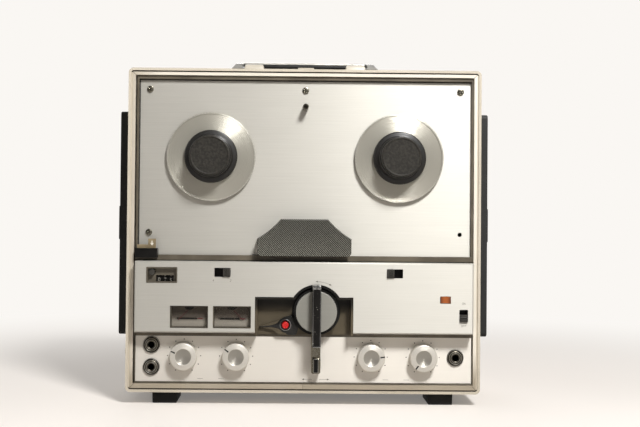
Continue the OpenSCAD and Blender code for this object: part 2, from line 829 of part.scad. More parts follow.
// The handle's own frame: its pivot axis, leaning back at the resting angle
module at_handle() { in_case() translate([0, handle_y, handle_z]) rotate([handle_tilt, 0, 0]) children(); }
module handle_arms() {
  arm_edge = 1.4;
  arm_flat = 6.5;
  foot = arm_rise - arm_h / 2;
  color(chrome) at_handle() for (side = [0, 1]) mirror([side, 0, 0]) {
    standing(-arm_heel, arm_heel + handle_reach + grip_w / 2) polygon([[arm_x, foot], [arm_x + arm_w, foot],
      [arm_x + arm_w, arm_edge + foot], [arm_x + arm_flat, foot + arm_h], [arm_x, foot + arm_h]]);
    axle(bracket_x - bracket_w / 2, 0, 0, arm_x - bracket_x + bracket_w / 2 + over, handle_pin_r);
  }
}
module handle_grip() {
  grip_r = 4.4;
  color(black) at_handle() sideways(-arm_x, 2 * arm_x)
    translate([handle_reach, (grip_h - arm_h) / 2]) rounded_rect(grip_w, grip_h, grip_r);
}

module lid_catches() {
  keeper_l = 12;
  keeper_slot = 8;
  dome_r = (stud_r * stud_r + stud_proud * stud_proud) / (2 * stud_proud);
  color(cream) in_case() {
    for (side = [0, 1]) mirror([side, 0, 0]) intersection() {
      axle(case_w / 2, stud_y, foot_h + stud_rise, dome_r, stud_r);
      translate([case_w / 2 + stud_proud - dome_r, stud_y, foot_h + stud_rise]) sphere(dome_r);
    }
    translate([front_x, keeper_y + keeper_l / 2, case_top + keeper_h / 2]) difference() {
      cube([keeper_w, keeper_l, keeper_h], center = true);
      cube([keeper_slot, keeper_l / 3, keeper_h + over], center = true);
    }
  }
}

module grille() {
  grille_step = 0.6;
  inner_r = max(0.4, grille_corner_r - grille_step - grille_t);
  louvre_l = grille_l - 2 * grille_corner_r;
  color(black) in_case() difference() {
    union() {
      sideways(case_w / 2, grille_proud - grille_step) at_grille()
        rounded_rect(grille_l, grille_h, grille_corner_r);
      sideways(case_w / 2, grille_proud) at_grille() rounded_rect(grille_l - 2 * grille_step,
        grille_h - 2 * grille_step, grille_corner_r - grille_step);
      sideways(case_w / 2 + grille_proud - grille_t, grille_t + bar_proud) at_grille()
        rounded_rect(louvre_l, bar_h, grille_corner_r / 2);
    }
    sideways(case_w / 2 - over, grille_proud - grille_t + over) at_grille()
      rounded_rect(grille_l - 2 * grille_step - 2 * grille_t, grille_h - 2 * grille_step - 2 * grille_t,
        inner_r);
    for (side = [-1, 1], i = [0 : louvre_count - 1])
      sideways(case_w / 2, grille_proud + over) at_grille()
        translate([0, side * (bar_h / 2 + louvre_pitch * (i + 0.5))]) slot_shape(louvre_l, louvre_w);
  }
}
module left_grille() { mirror([1, 0, 0]) grille(); }
module right_grille() { grille(); }

// One loudspeaker on the right wall: basket with its magnet, and the cone inside it
module speaker() {
  basket_h = 22;
  magnet_r = 27;
  magnet_h = 16;
  cone_t = 1.6;
  bowl_r = speaker_r - speaker_flange;
  translate([inner_w / 2, grille_mid_y, grille_mid_z]) rotate([0, -90, 0]) {
    rotate_extrude() polygon([[bowl_r, 0], [speaker_r, 0], [speaker_r, cone_t], [bowl_r + cone_t, cone_t],
      [magnet_r, basket_h], [magnet_r, basket_h + magnet_h], [0, basket_h + magnet_h],
      [0, basket_h - cone_t], [magnet_r - cone_t, basket_h - cone_t]]);
    rotate_extrude() polygon([[bowl_r - face_gap, 0], [bowl_r - face_gap - cone_t, 0],
      [magnet_r / 2, basket_h / 2], [0, basket_h / 2], [0, basket_h / 2 + cone_t],
      [magnet_r / 2, basket_h / 2 + cone_t]]);
  }
}
module speakers() {
  color(rubber) in_case() {
    speaker();
    mirror([1, 0, 0]) speaker();
  }
}

module deck_bezel() {
  color(taupe) on_front() standing(bezel_recess, bezel_t) difference() {
    top_rounded(bezel_w, sill_top + drop_fit, inner_top - drop_fit, trim_corner_r - drop_fit);
    translate([-deck_w / 2, deck_foot]) square([deck_w, deck_h]);
    translate([-low_w / 2, low_foot]) square([low_w, deck_foot - divider_h - low_foot]);
  }
}

module deck_plate() {
  color(metal) on_front() standing(deck_y, deck_t) difference() {
    translate([-deck_w / 2 - deck_lap, deck_foot - deck_lap])
      square([deck_w + 2 * deck_lap, deck_h + 2 * deck_lap]);
    for (side = [-1, 1]) translate([side * reel_pitch / 2, reel_z]) circle(pulley_r + hole_gap);
    for (place = concat(screw_places, [empty_hole])) translate(place) circle(shank_r + drop_fit);
    translate([0, deck_top - sleeve_drop]) circle(sleeve_bore_r - run_fit);
    translate([capstan_x, capstan_z]) circle(capstan_r + hole_gap);
  }
}

// A cross recess is cut into each head
module deck_screws() {
  color(steel) on_front() difference() {
    for (place = screw_places) {
      drum(place[0], place[1], deck_y - screw_h, deck_y, screw_r);
      drum(place[0], place[1], deck_y, deck_back + chassis_gap / 2, shank_r);
    }
    for (place = screw_places, turn = [20, 110]) translate([place[0], deck_y - screw_h, place[1]])
      rotate([0, turn, 0]) cube([1.4 * screw_r, screw_h, screw_r / 4], center = true);
  }
}

module sleeve_post() {
  post_l = 8;
  post_z = deck_top - sleeve_drop;
  color(steel) on_front() {
    drum(0, post_z, deck_y - post_l, deck_back, sleeve_bore_r - 2 * run_fit);
    difference() {
      drum(0, post_z, deck_y - sleeve_l, deck_y, sleeve_r);
      drum(0, post_z, deck_y - sleeve_l - over, deck_y + over, sleeve_bore_r);
    }
  }
}

// Table, hub, belt pulley and shaft turn as one piece and go in from the front
module reel_table(side) {
  table_rim = 1.6;
  table_rim_h = 0.6;
  x = side * reel_pitch / 2;
  groove_w = pulley_t - 2 * (pulley_t - belt_w) / 3;
  color(metal) on_front() {
    difference() {
      drum(x, reel_z, table_front - table_rim_h, table_back, table_r);
      drum(x, reel_z, table_front - table_rim_h - over, table_front, table_r - table_rim);
    }
    drum(x, reel_z, table_front - over, pulley_front + over, hub_r);
    difference() {
      drum(x, reel_z, pulley_front, pulley_back, pulley_r);
      difference() {
        drum(x, reel_z, pulley_mid - groove_w / 2, pulley_mid + groove_w / 2, pulley_r + over);
        drum(x, reel_z, pulley_front, pulley_back, pulley_r - pulley_groove);
      }
    }
    drum(x, reel_z, pulley_front, bush_front - face_gap, hub_r);
    drum(x, reel_z, nose_front, bush_back + over, shaft_r);
  }
}
module left_reel_table() { reel_table(-1); }
module right_reel_table() { reel_table(1); }

// A rubber cap that pushes onto the shaft: a foot ring, stepped sides and a dished top
module reel_cap(side) {
  cap_step = 1.2;
  x = side * reel_pitch / 2;
  bore = shaft_r + run_fit;
  bore_h = shaft_nose - face_gap + over;
  rise = (cap_h - cap_foot_h) / 2;
  dish = cap_step / 2;
  foot_clear = 2;
  color(rubber) on_front() turned(x, cap_foot_y, reel_z) polygon([
    [hub_r + foot_clear, 0], [cap_r, 0], [cap_r, cap_foot_h - cap_step], [cap_r - cap_step, cap_foot_h],
    [cap_top_r + 2 * cap_step, cap_foot_h], [cap_top_r + cap_step, cap_foot_h + rise],
    [cap_top_r, cap_foot_h + rise], [cap_top_r, cap_h - cap_step], [cap_top_r - cap_step, cap_h],
    [cap_top_r - 3 * cap_step, cap_h], [cap_top_r - 4 * cap_step, cap_h - dish], [0, cap_h - dish],
    [0, bore_h], [bore, bore_h], [bore, foot_clear], [hub_r + foot_clear, foot_clear]]);
}
module left_reel_cap() { reel_cap(-1); }
module right_reel_cap() { reel_cap(1); }

// The cover's face: a block whose sides are hollowed round the two reels
module cover_outline(inset) {
  half = cover_half_w - inset;
  corner = cover_corner_r - inset / 2;
  difference() {
    union() {
      translate([-half, deck_foot + corner]) square([2 * half, cover_h - inset - corner]);
      translate([corner - half, deck_foot]) square([2 * (half - corner), cover_h - inset]);
      for (side = [-1, 1]) translate([side * (half - corner), deck_foot + corner]) circle(corner);
    }
    for (side = [-1, 1]) translate([side * cover_hollow[0], deck_foot + cover_hollow[1]])
      circle(reel_clear_r + inset, $fn = 240);
  }
}
// The outline drawn in towards the face of the cover
module cover_block(inset, front) {
  translate([0, deck_y, deck_foot]) rotate([90, 0, 0])
    linear_extrude(deck_y - front, scale = 1 - cover_draft) translate([0, -deck_foot]) cover_outline(inset);
}
module head_cover() {
  slot_top = tape_rise + cover_h / 3;
  color(rubber) on_front() difference() {
    cover_block(0, cover_front);
    cover_block(cover_t, cover_front + cover_t);
    translate([-2 * cover_half_w, cover_front + skirt_d, deck_foot - over])
      cube([4 * cover_half_w, cover_proud, slot_top / 2 + over]);
    translate([cover_corner_r - cover_half_w, cover_front + cover_t, deck_foot - over])
      cube([2 * (cover_half_w - cover_corner_r), cover_proud, 2 * over]);
  }
}

// Mounting plate, two heads with curved faces, two tape guides and the stud of the pinch arm
module head_assembly() {
  head_d = 11;
  head_face_r = 9;
  guide_x = 40;
  plate_t = 2;
  plate_y = deck_y - plate_t;
  head_back = plate_y;
  head_front = head_back - head_d;
  guide_z = tape_z + guide_r + face_gap;
  guide_front = cover_front + skirt_d;
  color(steel) on_front() {
    standing(plate_y, plate_t) translate([erase_x - head_w / 2, tape_z + face_gap])
      square([play_x - erase_x + head_w, head_h + face_gap]);
    for (x = [erase_x, play_x]) intersection() {
      translate([x - head_w / 2, head_front, tape_z]) cube([head_w, head_d, head_h]);
      drum(x, tape_z + head_face_r, head_front, head_back, head_face_r);
    }
    for (x = [-guide_x, guide_x]) {
      drum(x, guide_z, guide_front, deck_y, guide_r);
      drum(x, guide_z, deck_y - over, deck_y, guide_r + over);
      drum(x, guide_z, guide_front - over, guide_front, guide_r + over);
    }
    drum(pinch_x, pinch_z, pinch_front - over, deck_y, capstan_r);
  }
}

// The pinch arm and roller stand open at rest, swung away from the capstan
module at_pinch() {
  on_front() translate([pinch_x, 0, pinch_z]) rotate([0, -pinch_swing, 0]) children();
}
module pinch_arm() {
  color(steel) at_pinch() {
    standing(pinch_front, pinch_plate_t) difference() {
      belt_side([0, 0], pinch_w / 2, [pinch_dx, -pinch_dz], pinch_w / 2);
      circle(capstan_r + run_fit);
    }
    drum(pinch_dx, -pinch_dz, roller_front - over, pinch_back - pinch_plate_t / 2, guide_r);
  }
}
module pinch_roller() {
  color(black) at_pinch() difference() {
    drum(pinch_dx, -pinch_dz, roller_front, roller_back, roller_r);
    drum(pinch_dx, -pinch_dz, roller_front - over, roller_back + over, guide_r + run_fit);
  }
}

module capstan_flywheel() {
  color(steel) on_front() difference() {
    union() {
      drum(capstan_x, capstan_z, roller_front, bush_back + over, capstan_r);
      drum(capstan_x, capstan_z, pulley_front, pulley_back, takeup_r);
      drum(capstan_x, capstan_z, pulley_back - over, bush_front - face_gap, hub_r);
      drum(capstan_x, capstan_z, flywheel_front, flywheel_back, flywheel_r);
    }
    difference() {
      drum(capstan_x, capstan_z, flywheel_mid - belt_w, flywheel_mid + belt_w, flywheel_r + over);
      drum(capstan_x, capstan_z, flywheel_front, flywheel_back, flywheel_r - belt_seat);
    }
  }
}

module motor() {
  bell = motor_l / 4;
  color(steel) on_front() difference() {
    union() {
      drum(motor_x, motor_z, chassis_back, chassis_back + motor_l, motor_r - over);
      drum(motor_x, motor_z, chassis_back + bell, chassis_back + motor_l - bell, motor_r);
      standing(chassis_back, chassis_t) translate([motor_x, motor_z])
        rounded_rect(2 * motor_r + standoff_r, 2 * motor_r + standoff_r, standoff_r);
    }
    drum(motor_x, motor_z, chassis_back - over, chassis_back + motor_l / 2, motor_shaft_r + run_fit);
  }
}
module motor_pulley() {
  color(brass) on_front() {
    drum(motor_x, motor_z, pulley_back, chassis_back + motor_l / 2 - over, motor_shaft_r);
    drum(motor_x, motor_z, flywheel_front, flywheel_back, motor_pulley_r);
    for (edge = [flywheel_front - over / 2, flywheel_back - over / 2])
      drum(motor_x, motor_z, edge, edge + over, motor_pulley_r + belt_t + face_gap);
  }
}

// The outline of a belt's outer or inner side round two pulleys
module belt_side(a, ra, b, rb) {
  run = b - a;
  turn = atan2(run[1], run[0]);
  lean = acos((ra - rb) / norm(run));
  high = [cos(turn + lean), sin(turn + lean)];
  low = [cos(turn - lean), sin(turn - lean)];
  translate(a) circle(ra);
  translate(b) circle(rb);
  polygon([a + ra * high, b + rb * high, b + rb * low, a + ra * low]);
}
module belt(a, ra, b, rb, mid) {
  standing(mid - belt_w / 2, belt_w) difference() {
    belt_side(a, ra + face_gap + belt_t, b, rb + face_gap + belt_t);
    belt_side(a, ra + face_gap, b, rb + face_gap);
  }
}
module belts() {
  capstan_at = [capstan_x, capstan_z];
  color(black) on_front() {
    belt(capstan_at, flywheel_r - belt_seat, [motor_x, motor_z], motor_pulley_r, flywheel_mid);
    belt(capstan_at, takeup_r, [reel_pitch / 2, reel_z], pulley_r - pulley_groove, pulley_mid);
  }
}

module chassis() {
  low_post_x = knob_outer_x + 2 * pot_r;
  low_post_z = low_foot + standoff_r;
  high_post_z = panel_foot + panel_h * 0.6;
  mid_post_z = panel_foot + 2.5 * standoff_r;
  low_posts = [[-low_post_x, low_post_z], [0, low_post_z], [low_post_x, low_post_z]];
  panel_posts = [[(counter_x + track_x) / 2, high_post_z], [(speed_x + pilot_x) / 2, high_post_z],
    [2 * standoff_r - panel_w / 2, mid_post_z], [(speed_x + pilot_x) / 2, mid_post_z]];
  color(steel) on_front() difference() {
    union() {
      standing(chassis_y, chassis_t) translate([-inner_w / 2 + batten_w - chassis_lap, low_foot])
        square([inner_w - 2 * (batten_w - chassis_lap), inner_top - low_foot - deck_lap]);
      for (place = concat(screw_places, [empty_hole]))
        drum(place[0], place[1], deck_back, chassis_y + over, standoff_r);
      for (place = low_posts) drum(place[0], place[1], low_back, chassis_y + over, standoff_r);
      for (place = panel_posts)
        drum(place[0], place[1], panel_inner_y, chassis_y + over, standoff_r);
    }
    for (place = concat(screw_places, [empty_hole]))
      drum(place[0], place[1], deck_back - over, chassis_back + over, shank_r + run_fit);
    for (side = [-1, 1])
      drum(side * reel_pitch / 2, reel_z, chassis_y - over, chassis_back + over, bush_r + run_fit);
    drum(capstan_x, capstan_z, chassis_y - over, chassis_back + over, bush_r + run_fit);
    drum(motor_x, motor_z, chassis_y - over, chassis_back + over, motor_shaft_r + hole_gap);
    drum(selector_x, selector_z, chassis_y - over, chassis_back + over, selector_shaft_r + run_fit);
  }
}

module bush(x, z, bore) {
  bush_flange = 2;
  difference() {
    union() {
      drum(x, z, bush_front, chassis_y, bush_r + bush_flange);
      drum(x, z, bush_front, bush_back, bush_r);
    }
    drum(x, z, bush_front - over, bush_back + over, bore);
  }
}
module bearing_bushes() {
  color(brass) on_front() {
    for (side = [-1, 1]) bush(side * reel_pitch / 2, reel_z, shaft_r + run_fit);
    bush(capstan_x, capstan_z, capstan_r + run_fit);
  }
}

// Circuit board on posts with its parts, and the mains transformer on the case floor beside it
module amplifier_unit() {
  board = [board_w, board_l, board_t];
  board_at = [board_x, board_y, inner_foot + board_rise];
  sink = [sink_w, board_t, sink_h];
  core = [core_h, core_l, core_h];
  winding = [core_l, winding_l, core_l];
  color("#7a5a34") in_case() {
    translate(board_at) cube(board);
    for (x = [2 * post_r, board[0] - 2 * post_r], y = [2 * post_r, board[1] - 2 * post_r])
      translate([board_at[0] + x, board_at[1] + y, inner_foot])
        cylinder(h = board_at[2] - inner_foot, r = post_r);
    for (i = [1 : 4]) translate(board_at + [i * board[0] / 5, board[1] / 4, board[2]])
      cylinder(h = part_h, r = part_r);
    for (i = [1 : 3]) translate(board_at + [i * board[0] / 4 - sink[0] / 2, board[1] * 0.75, board[2]])
      cube(sink);
  }
  color(steel) in_case() translate([transformer_x, board_at[1] + board[1] / 2, inner_foot + core[2] / 2]) {
    cube(core, center = true);
    cube(winding, center = true);
  }
}

module mains_inlet() {
  inlet_l = 24;
  inlet_pin_r = 2;
  inlet_pin_pitch = 12;
  inlet_y = rear_y + rear_t - inlet_l;
  wall_t = 2;
  color(black) in_case() translate([inlet_x, 0, inner_foot + inlet_rise]) {
    difference() {
      union() {
        standing(inlet_y, inlet_l) square([inlet_w, inlet_h], center = true);
        standing(rear_y + rear_t, wall_t)
          rounded_rect(inlet_w + 4 * wall_t, inlet_h + 2 * wall_t, wall_t);
      }
      standing(inlet_y + inlet_l / 3, inlet_l)
        square([inlet_w - 2 * wall_t, inlet_h - 2 * wall_t], center = true);
    }
    for (side = [-1, 1])
      drum(side * inlet_pin_pitch / 2, 0, inlet_y, inlet_y + inlet_l - over, inlet_pin_r);
  }
}

// Window openings through the control panel's face
module panel_windows() {
  translate([counter_x, counter_z]) rounded_rect(counter_w, counter_h, window_r);
  for (x = [track_x, speed_x]) translate([x, switch_z]) rounded_rect(switch_w, switch_h, window_r);
  translate([power_x, power_z]) rounded_rect(power_w, power_h, window_r);
  translate([pilot_x, pilot_z]) rounded_rect(pilot_w, pilot_h, window_r);
  for (side = [-1, 1]) translate([meter_x + side * meter_pitch / 2, meter_z])
    rounded_rect(meter_w, meter_h, window_r);
}
// The opening for the selector: a notch from the foot of the panel with a round part about the dial
module well_outline(inset, foot) {
  translate([inset - well_w / 2, foot]) square([well_w - 2 * inset, well_top - inset - foot]);
  intersection() {
    translate([selector_x, selector_z]) circle(dial_well_r - inset);
    translate([-well_w / 2, foot]) square([well_w, panel_h]);
  }
}
// A tray that is open behind, with bevelled front edges and a wall down to the lower panel
module control_panel() {
  skirt_back = low_recess - face_gap;
  color(metal) on_front() difference() {
    standing(panel_y, skirt_back - panel_y) translate([-panel_w / 2, panel_foot]) square([panel_w, panel_h]);
    standing(panel_inner_y, skirt_back - panel_y) translate([panel_t - panel_w / 2, panel_foot + panel_t])
      square([panel_w - 2 * panel_t, panel_h - 2 * panel_t]);
    for (z = [panel_foot, panel_top]) translate([0, panel_y, z]) rotate([45, 0, 0])
      cube([panel_w + over, panel_bevel * sqrt(2), panel_bevel * sqrt(2)], center = true);
    for (x = [-panel_w / 2, panel_w / 2]) translate([x, panel_y, panel_foot + panel_h / 2]) rotate([0, 0, 45])
      cube([panel_bevel * sqrt(2), panel_bevel * sqrt(2), panel_h + over], center = true);
    standing(panel_y - over, panel_t + 2 * over) panel_windows();
    standing(panel_y - over, skirt_back - panel_y + 2 * over) well_outline(0, panel_foot - over);
  }
}

// Recessed frame of the counter, with cheeks behind it that carry the wheels' axle
module counter_frame() {
  cheek_z = digit_z - wheel_r + over;
  cheek_h = wheel_r + axle_r;
  color(taupe) on_front() {
    difference() {
      translate([counter_x, 0, counter_z]) {
        standing(panel_y + over / 2, counter_d + counter_floor_t - over / 2)
          rounded_rect(counter_w - 2 * drop_fit, counter_h - 2 * drop_fit, window_r / 2);
        standing(panel_inner_y, over) square([counter_w + 2 * over, counter_h + 2 * over], center = true);
      }
      standing(panel_y - over, counter_d + over) translate([counter_x, counter_z])
        rounded_rect(counter_w - 2 * drop_fit - 2, counter_h - 2 * drop_fit - 2, window_r / 2);
      standing(counter_floor_y - over, counter_floor_t + 2 * over) {
        translate([digit_x, digit_z]) square([digit_w, digit_h], center = true);
        translate([reset_x, reset_z]) circle(reset_r + drop_fit);
      }
    }
    difference() {
      for (x = [digit_x - digit_w / 2 - cheek_t, digit_x + digit_w / 2])
        translate([x, counter_floor_y + over, cheek_z])
          cube([cheek_t, wheel_y - counter_floor_y + axle_r, cheek_h]);
      axle(counter_x - counter_w, wheel_y, digit_z, 2 * counter_w, axle_r);
    }
    axle(digit_x - digit_w / 2 - cheek_t, wheel_y, digit_z, digit_w + 2 * cheek_t, axle_r);
  }
}

// A digit wheel with a shallow edge groove on each side; place 0 is on the right
module digit_wheel(place) {
  x = digit_x + digit_w / 2 - face_gap - (place + 1) * wheel_w - place * face_gap;
  step = wheel_w / 8;
  color(black) on_front() difference() {
    union() {
      axle(x, wheel_y, digit_z, wheel_w, wheel_r - step);
      axle(x + step, wheel_y, digit_z, wheel_w - 2 * step, wheel_r);
    }
    axle(x - over, wheel_y, digit_z, wheel_w + 2 * over, axle_r + run_fit);
  }
}
module units_wheel() { digit_wheel(0); }
module tens_wheel() { digit_wheel(1); }
module hundreds_wheel() { digit_wheel(2); }

module reset_button() {
  flange_y = counter_floor_y + counter_floor_t + face_gap;
  color(black) on_front() {
    drum(reset_x, reset_z, counter_floor_y - reset_proud, flange_y + over, reset_r);
    drum(reset_x, reset_z, flange_y, flange_y + over, reset_r + drop_fit + over / 2);
  }
}

// A switch body behind the panel, with a slot that faces the window
module switch_body(x, z, w, h) {
  difference() {
    standing(panel_inner_y, slot_d + switch_wall) translate([x, z])
      square([w + 2 * switch_wall, h + 2 * switch_wall], center = true);
    standing(panel_inner_y - over, slot_d + over) translate([x, z]) square([w, h], center = true);
  }
}
module switch_bodies() {
  color(black) on_front() {
    for (x = [track_x, speed_x]) switch_body(x, switch_z, switch_w, switch_h);
    switch_body(power_x, power_z, power_w, power_h);
  }
}
// A switch knob with a ribbed face, at one end of its slot
module slider(x, z, w, h, upright) {
  front = panel_y - slider_proud;
  rib = slider_l / 8;
  difference() {
    standing(front, slot_y - face_gap - front) translate([x, z]) square([w, h], center = true);
    for (i = [-1, 0, 1]) translate([x + (upright ? 0 : i * w / 4), front, z + (upright ? i * h / 4 : 0)])
      cube([upright ? w + over : rib, 2 * rib, upright ? rib : h + over], center = true);
  }
}
module track_slider() {
  color(rubber) on_front() slider(track_x + (switch_w - slider_l) / 2 - slider_clear, switch_z, slider_l,
    switch_h - 2 * slider_clear, false);
}
module speed_slider() {
  color(rubber) on_front() slider(speed_x - (switch_w - slider_l) / 2 + slider_clear, switch_z, slider_l,
    switch_h - 2 * slider_clear, false);
}
module power_slider() {
  color(rubber) on_front() slider(power_x, power_z - (power_h - slider_l) / 2 + slider_clear,
    power_w - 2 * slider_clear, slider_l, true);
}

module pilot_lens() {
  flange = 1.5;
  color("#8a4a22") on_front() translate([pilot_x, 0, pilot_z]) {
    standing(panel_y - over / 2, panel_t + over / 2)
      rounded_rect(pilot_w - 2 * drop_fit, pilot_h - 2 * drop_fit, window_r / 2);
    standing(panel_inner_y, flange) square([pilot_w + 2 * flange, pilot_h + 2 * flange], center = true);
  }
}

module meter_case(x) {
  rim = drop_fit + 0.8;
  translate([x, 0, meter_z]) {
    difference() {
      standing(panel_inner_y, meter_d)
        square([meter_w + 2 * meter_wall, meter_h + 2 * meter_wall], center = true);
      standing(panel_inner_y - over, dial_plate_y - panel_inner_y + over)
        square([meter_w - 2 * rim, meter_h - 2 * rim], center = true);
    }
    drum(0, needle_pivot_z - meter_z, needle_y - needle_t, dial_plate_y + over, pivot_r);
  }
}
module meter_cases() {
  color(taupe) on_front() for (side = [-1, 1]) meter_case(meter_x + side * meter_pitch / 2);
}
module meter_windows() {
  color("#55524a") on_front() for (side = [-1, 1]) standing(panel_y + over / 2, panel_t - over / 2)
    translate([meter_x + side * meter_pitch / 2, meter_z])
      rounded_rect(meter_w - 2 * drop_fit, meter_h - 2 * drop_fit, window_r);
}
// The needles hang from the top; the left one rests on the left and the right one on the right
module needle(side) {
  x = meter_x + side * meter_pitch / 2;
  color("#7d2018") on_front() translate([x, 0, needle_pivot_z]) difference() {
    standing(needle_y, needle_t) {
      circle(needle_hub_r);
      rotate(side * needle_rest) translate([0, -needle_l / 2]) square([needle_w, needle_l], center = true);
    }
    drum(0, 0, needle_y - over, needle_y + needle_t + over, pivot_r + run_fit);
  }
}
module left_needle() { needle(-1); }
module right_needle() { needle(1); }

// Dark well behind the selector, with the collar round the dial and the base of the record button
module selector_well() {
  color("#3a352b") on_front() difference() {
    union() {
      difference() {
        union() {
          standing(panel_y + over / 2, well_d + well_t - over / 2) well_outline(drop_fit, well_foot);
          standing(panel_inner_y, well_flange) well_outline(-well_flange, panel_foot + panel_t);
        }
        standing(panel_y - over, well_d + over) well_outline(drop_fit + well_t, well_foot - over);
      }
      difference() {
        drum(selector_x, selector_z, dial_back, well_y + over, dial_r + collar_gap + collar_t);
        drum(selector_x, selector_z, dial_back - over, well_y + 2 * over, dial_r + collar_gap);
        standing(dial_back - over, well_y - dial_back + over) translate([selector_x, selector_z])
          polygon([[0, 0], dial_well_r * 2 * [-sin(collar_open), -cos(collar_open)],
            dial_well_r * 2 * [sin(collar_open), -cos(collar_open)]]);
      }
      record_base();
    }
    drum(selector_x, selector_z, well_y - over, well_y + well_t + over, selector_shaft_r + hole_gap);
    drum(record_x, record_z, well_y - record_base_h - over, well_y + well_t + over, record_r + drop_fit);
  }
}
// A round seat with a tail to the left, joined to the collar on the right
module record_base() {
  record_tip = 26;
  collar_at = [-record_dx, record_dz];
  collar_r = dial_r + collar_gap + collar_t / 2;
  low = well_foot - record_z;
  standing(well_y - record_base_h, record_base_h + over) translate([record_x, record_z]) {
    circle(record_base_r);
    polygon([[-record_tip, -record_base_r / 3], [0, record_base_r], collar_at - collar_r * [cos(20), sin(20)],
      collar_at - collar_r * [sin(collar_open), cos(collar_open)], [1.8 * record_base_r, low],
      [-record_base_r, low], [-2 * record_base_r, low / 2]]);
  }
}

module selector_dial() {
  color(metal) on_front() {
    drum(selector_x, selector_z, dial_front, dial_back, dial_r);
    drum(selector_x, selector_z, dial_back - over, boss_back, dial_boss_r);
    drum(selector_x, selector_z, boss_back - over, chassis_back + over, selector_shaft_r);
  }
}
// A black bar across the dial with bevelled front edges
module selector_bar() {
  bar_bevel = 1;
  color(black) on_front() translate([selector_x, 0, selector_z]) difference() {
    standing(bar_front, dial_front - bar_front) translate([0, (bar_up - bar_down) / 2])
      rounded_rect(bar_w, bar_up + bar_down, bar_bevel);
    for (x = [-bar_w / 2, bar_w / 2]) translate([x, bar_front, (bar_up - bar_down) / 2]) rotate([0, 0, 45])
      cube([bar_bevel * sqrt(2), bar_bevel * sqrt(2), bar_up + bar_down + over], center = true);
    for (z = [-bar_down, bar_up]) translate([0, bar_front, z]) rotate([45, 0, 0])
      cube([bar_w + over, bar_bevel * sqrt(2), bar_bevel * sqrt(2)], center = true);
  }
}
module wind_lever() {
  wind_grip_l = 16;
  grip_y = wind_back - wind_grip_h;
  color(metal) on_front() translate([selector_x, 0, selector_z]) difference() {
    union() {
      drum(0, 0, wind_front, wind_back, wind_hub_r);
      standing(wind_front, wind_t) translate([-wind_w / 2, -wind_reach + wind_w / 2])
        square([wind_w, wind_reach - wind_w / 2]);
      standing(grip_y, wind_grip_h) translate([0, wind_grip_l / 2 - wind_reach])
        rounded_rect(wind_w, wind_grip_l, wind_w / 4);
    }
    drum(0, 0, wind_front - over, wind_back + over, selector_shaft_r + run_fit);
    standing(grip_y - over, over + wind_grip_h / 8) translate([0, wind_grip_l / 2 - wind_reach])
      rounded_rect(0.42 * wind_w, wind_grip_l - wind_w / 4, wind_w / 8);
  }
}
module record_button() {
  flange_y = well_y + well_t + face_gap;
  color("#b3271b") on_front() {
    drum(record_x, record_z, well_y - record_base_h - record_proud, flange_y + over, record_r);
    drum(record_x, record_z, flange_y, flange_y + over, record_r + drop_fit + over / 2);
  }
}

module lower_panel() {
  color(metal) on_front() standing(low_recess, low_t) difference() {
    translate([drop_fit - low_w / 2, low_foot + drop_fit])
      square([low_w - 2 * drop_fit, low_top - low_foot - drop_fit]);
    for (x = knob_xs) translate([x, knob_z]) circle(pot_shaft_r + hole_gap);
    for (place = jack_places) translate(place) circle(jack_barrel_r + run_fit);
  }
}

// A turned knob with a falling ring, a dished centre, a pointer notch and its shaft
module knob(i) {
  x = knob_xs[i];
  h = knob_back - knob_front;
  edge = knob_fall / 2;
  color(metal) on_front() {
    difference() {
      turned(x, knob_back, knob_z) polygon([[0, 0], [knob_r, 0], [knob_r, h - knob_fall - edge],
        [knob_r - edge, h - knob_fall], [knob_centre_r, h], [0, h - knob_dish]]);
      translate([x, knob_front, knob_z]) rotate([0, -pointer_angles[i], 0])
        translate([(knob_centre_r + knob_r + over) / 2, knob_fall / 2, 0])
          cube([knob_r - knob_centre_r + over, 2 * notch_d + knob_fall, notch_w], center = true);
    }
    drum(x, knob_z, knob_back - over, pot_back - over, pot_shaft_r);
  }
}
module volume_left_knob() { knob(0); }
module volume_right_knob() { knob(1); }
module tone_left_knob() { knob(2); }
module tone_right_knob() { knob(3); }

module potentiometers() {
  color(brass) on_front() for (x = knob_xs) difference() {
    drum(x, knob_z, low_back, pot_back, pot_r);
    drum(x, knob_z, low_back - over, pot_back + over, pot_shaft_r + run_fit);
  }
}

module jack_sockets() {
  color(chrome) on_front() for (place = jack_places) difference() {
    union() {
      drum(place[0], place[1], low_recess - jack_ring_t / 2, low_recess, jack_r);
      drum(place[0], place[1], jack_front, low_recess, (jack_r + jack_barrel_r) / 2);
      drum(place[0], place[1], low_recess, jack_back, jack_barrel_r);
    }
    drum(place[0], place[1], jack_front - over, jack_back - jack_wall, jack_bore_r);
  }
}

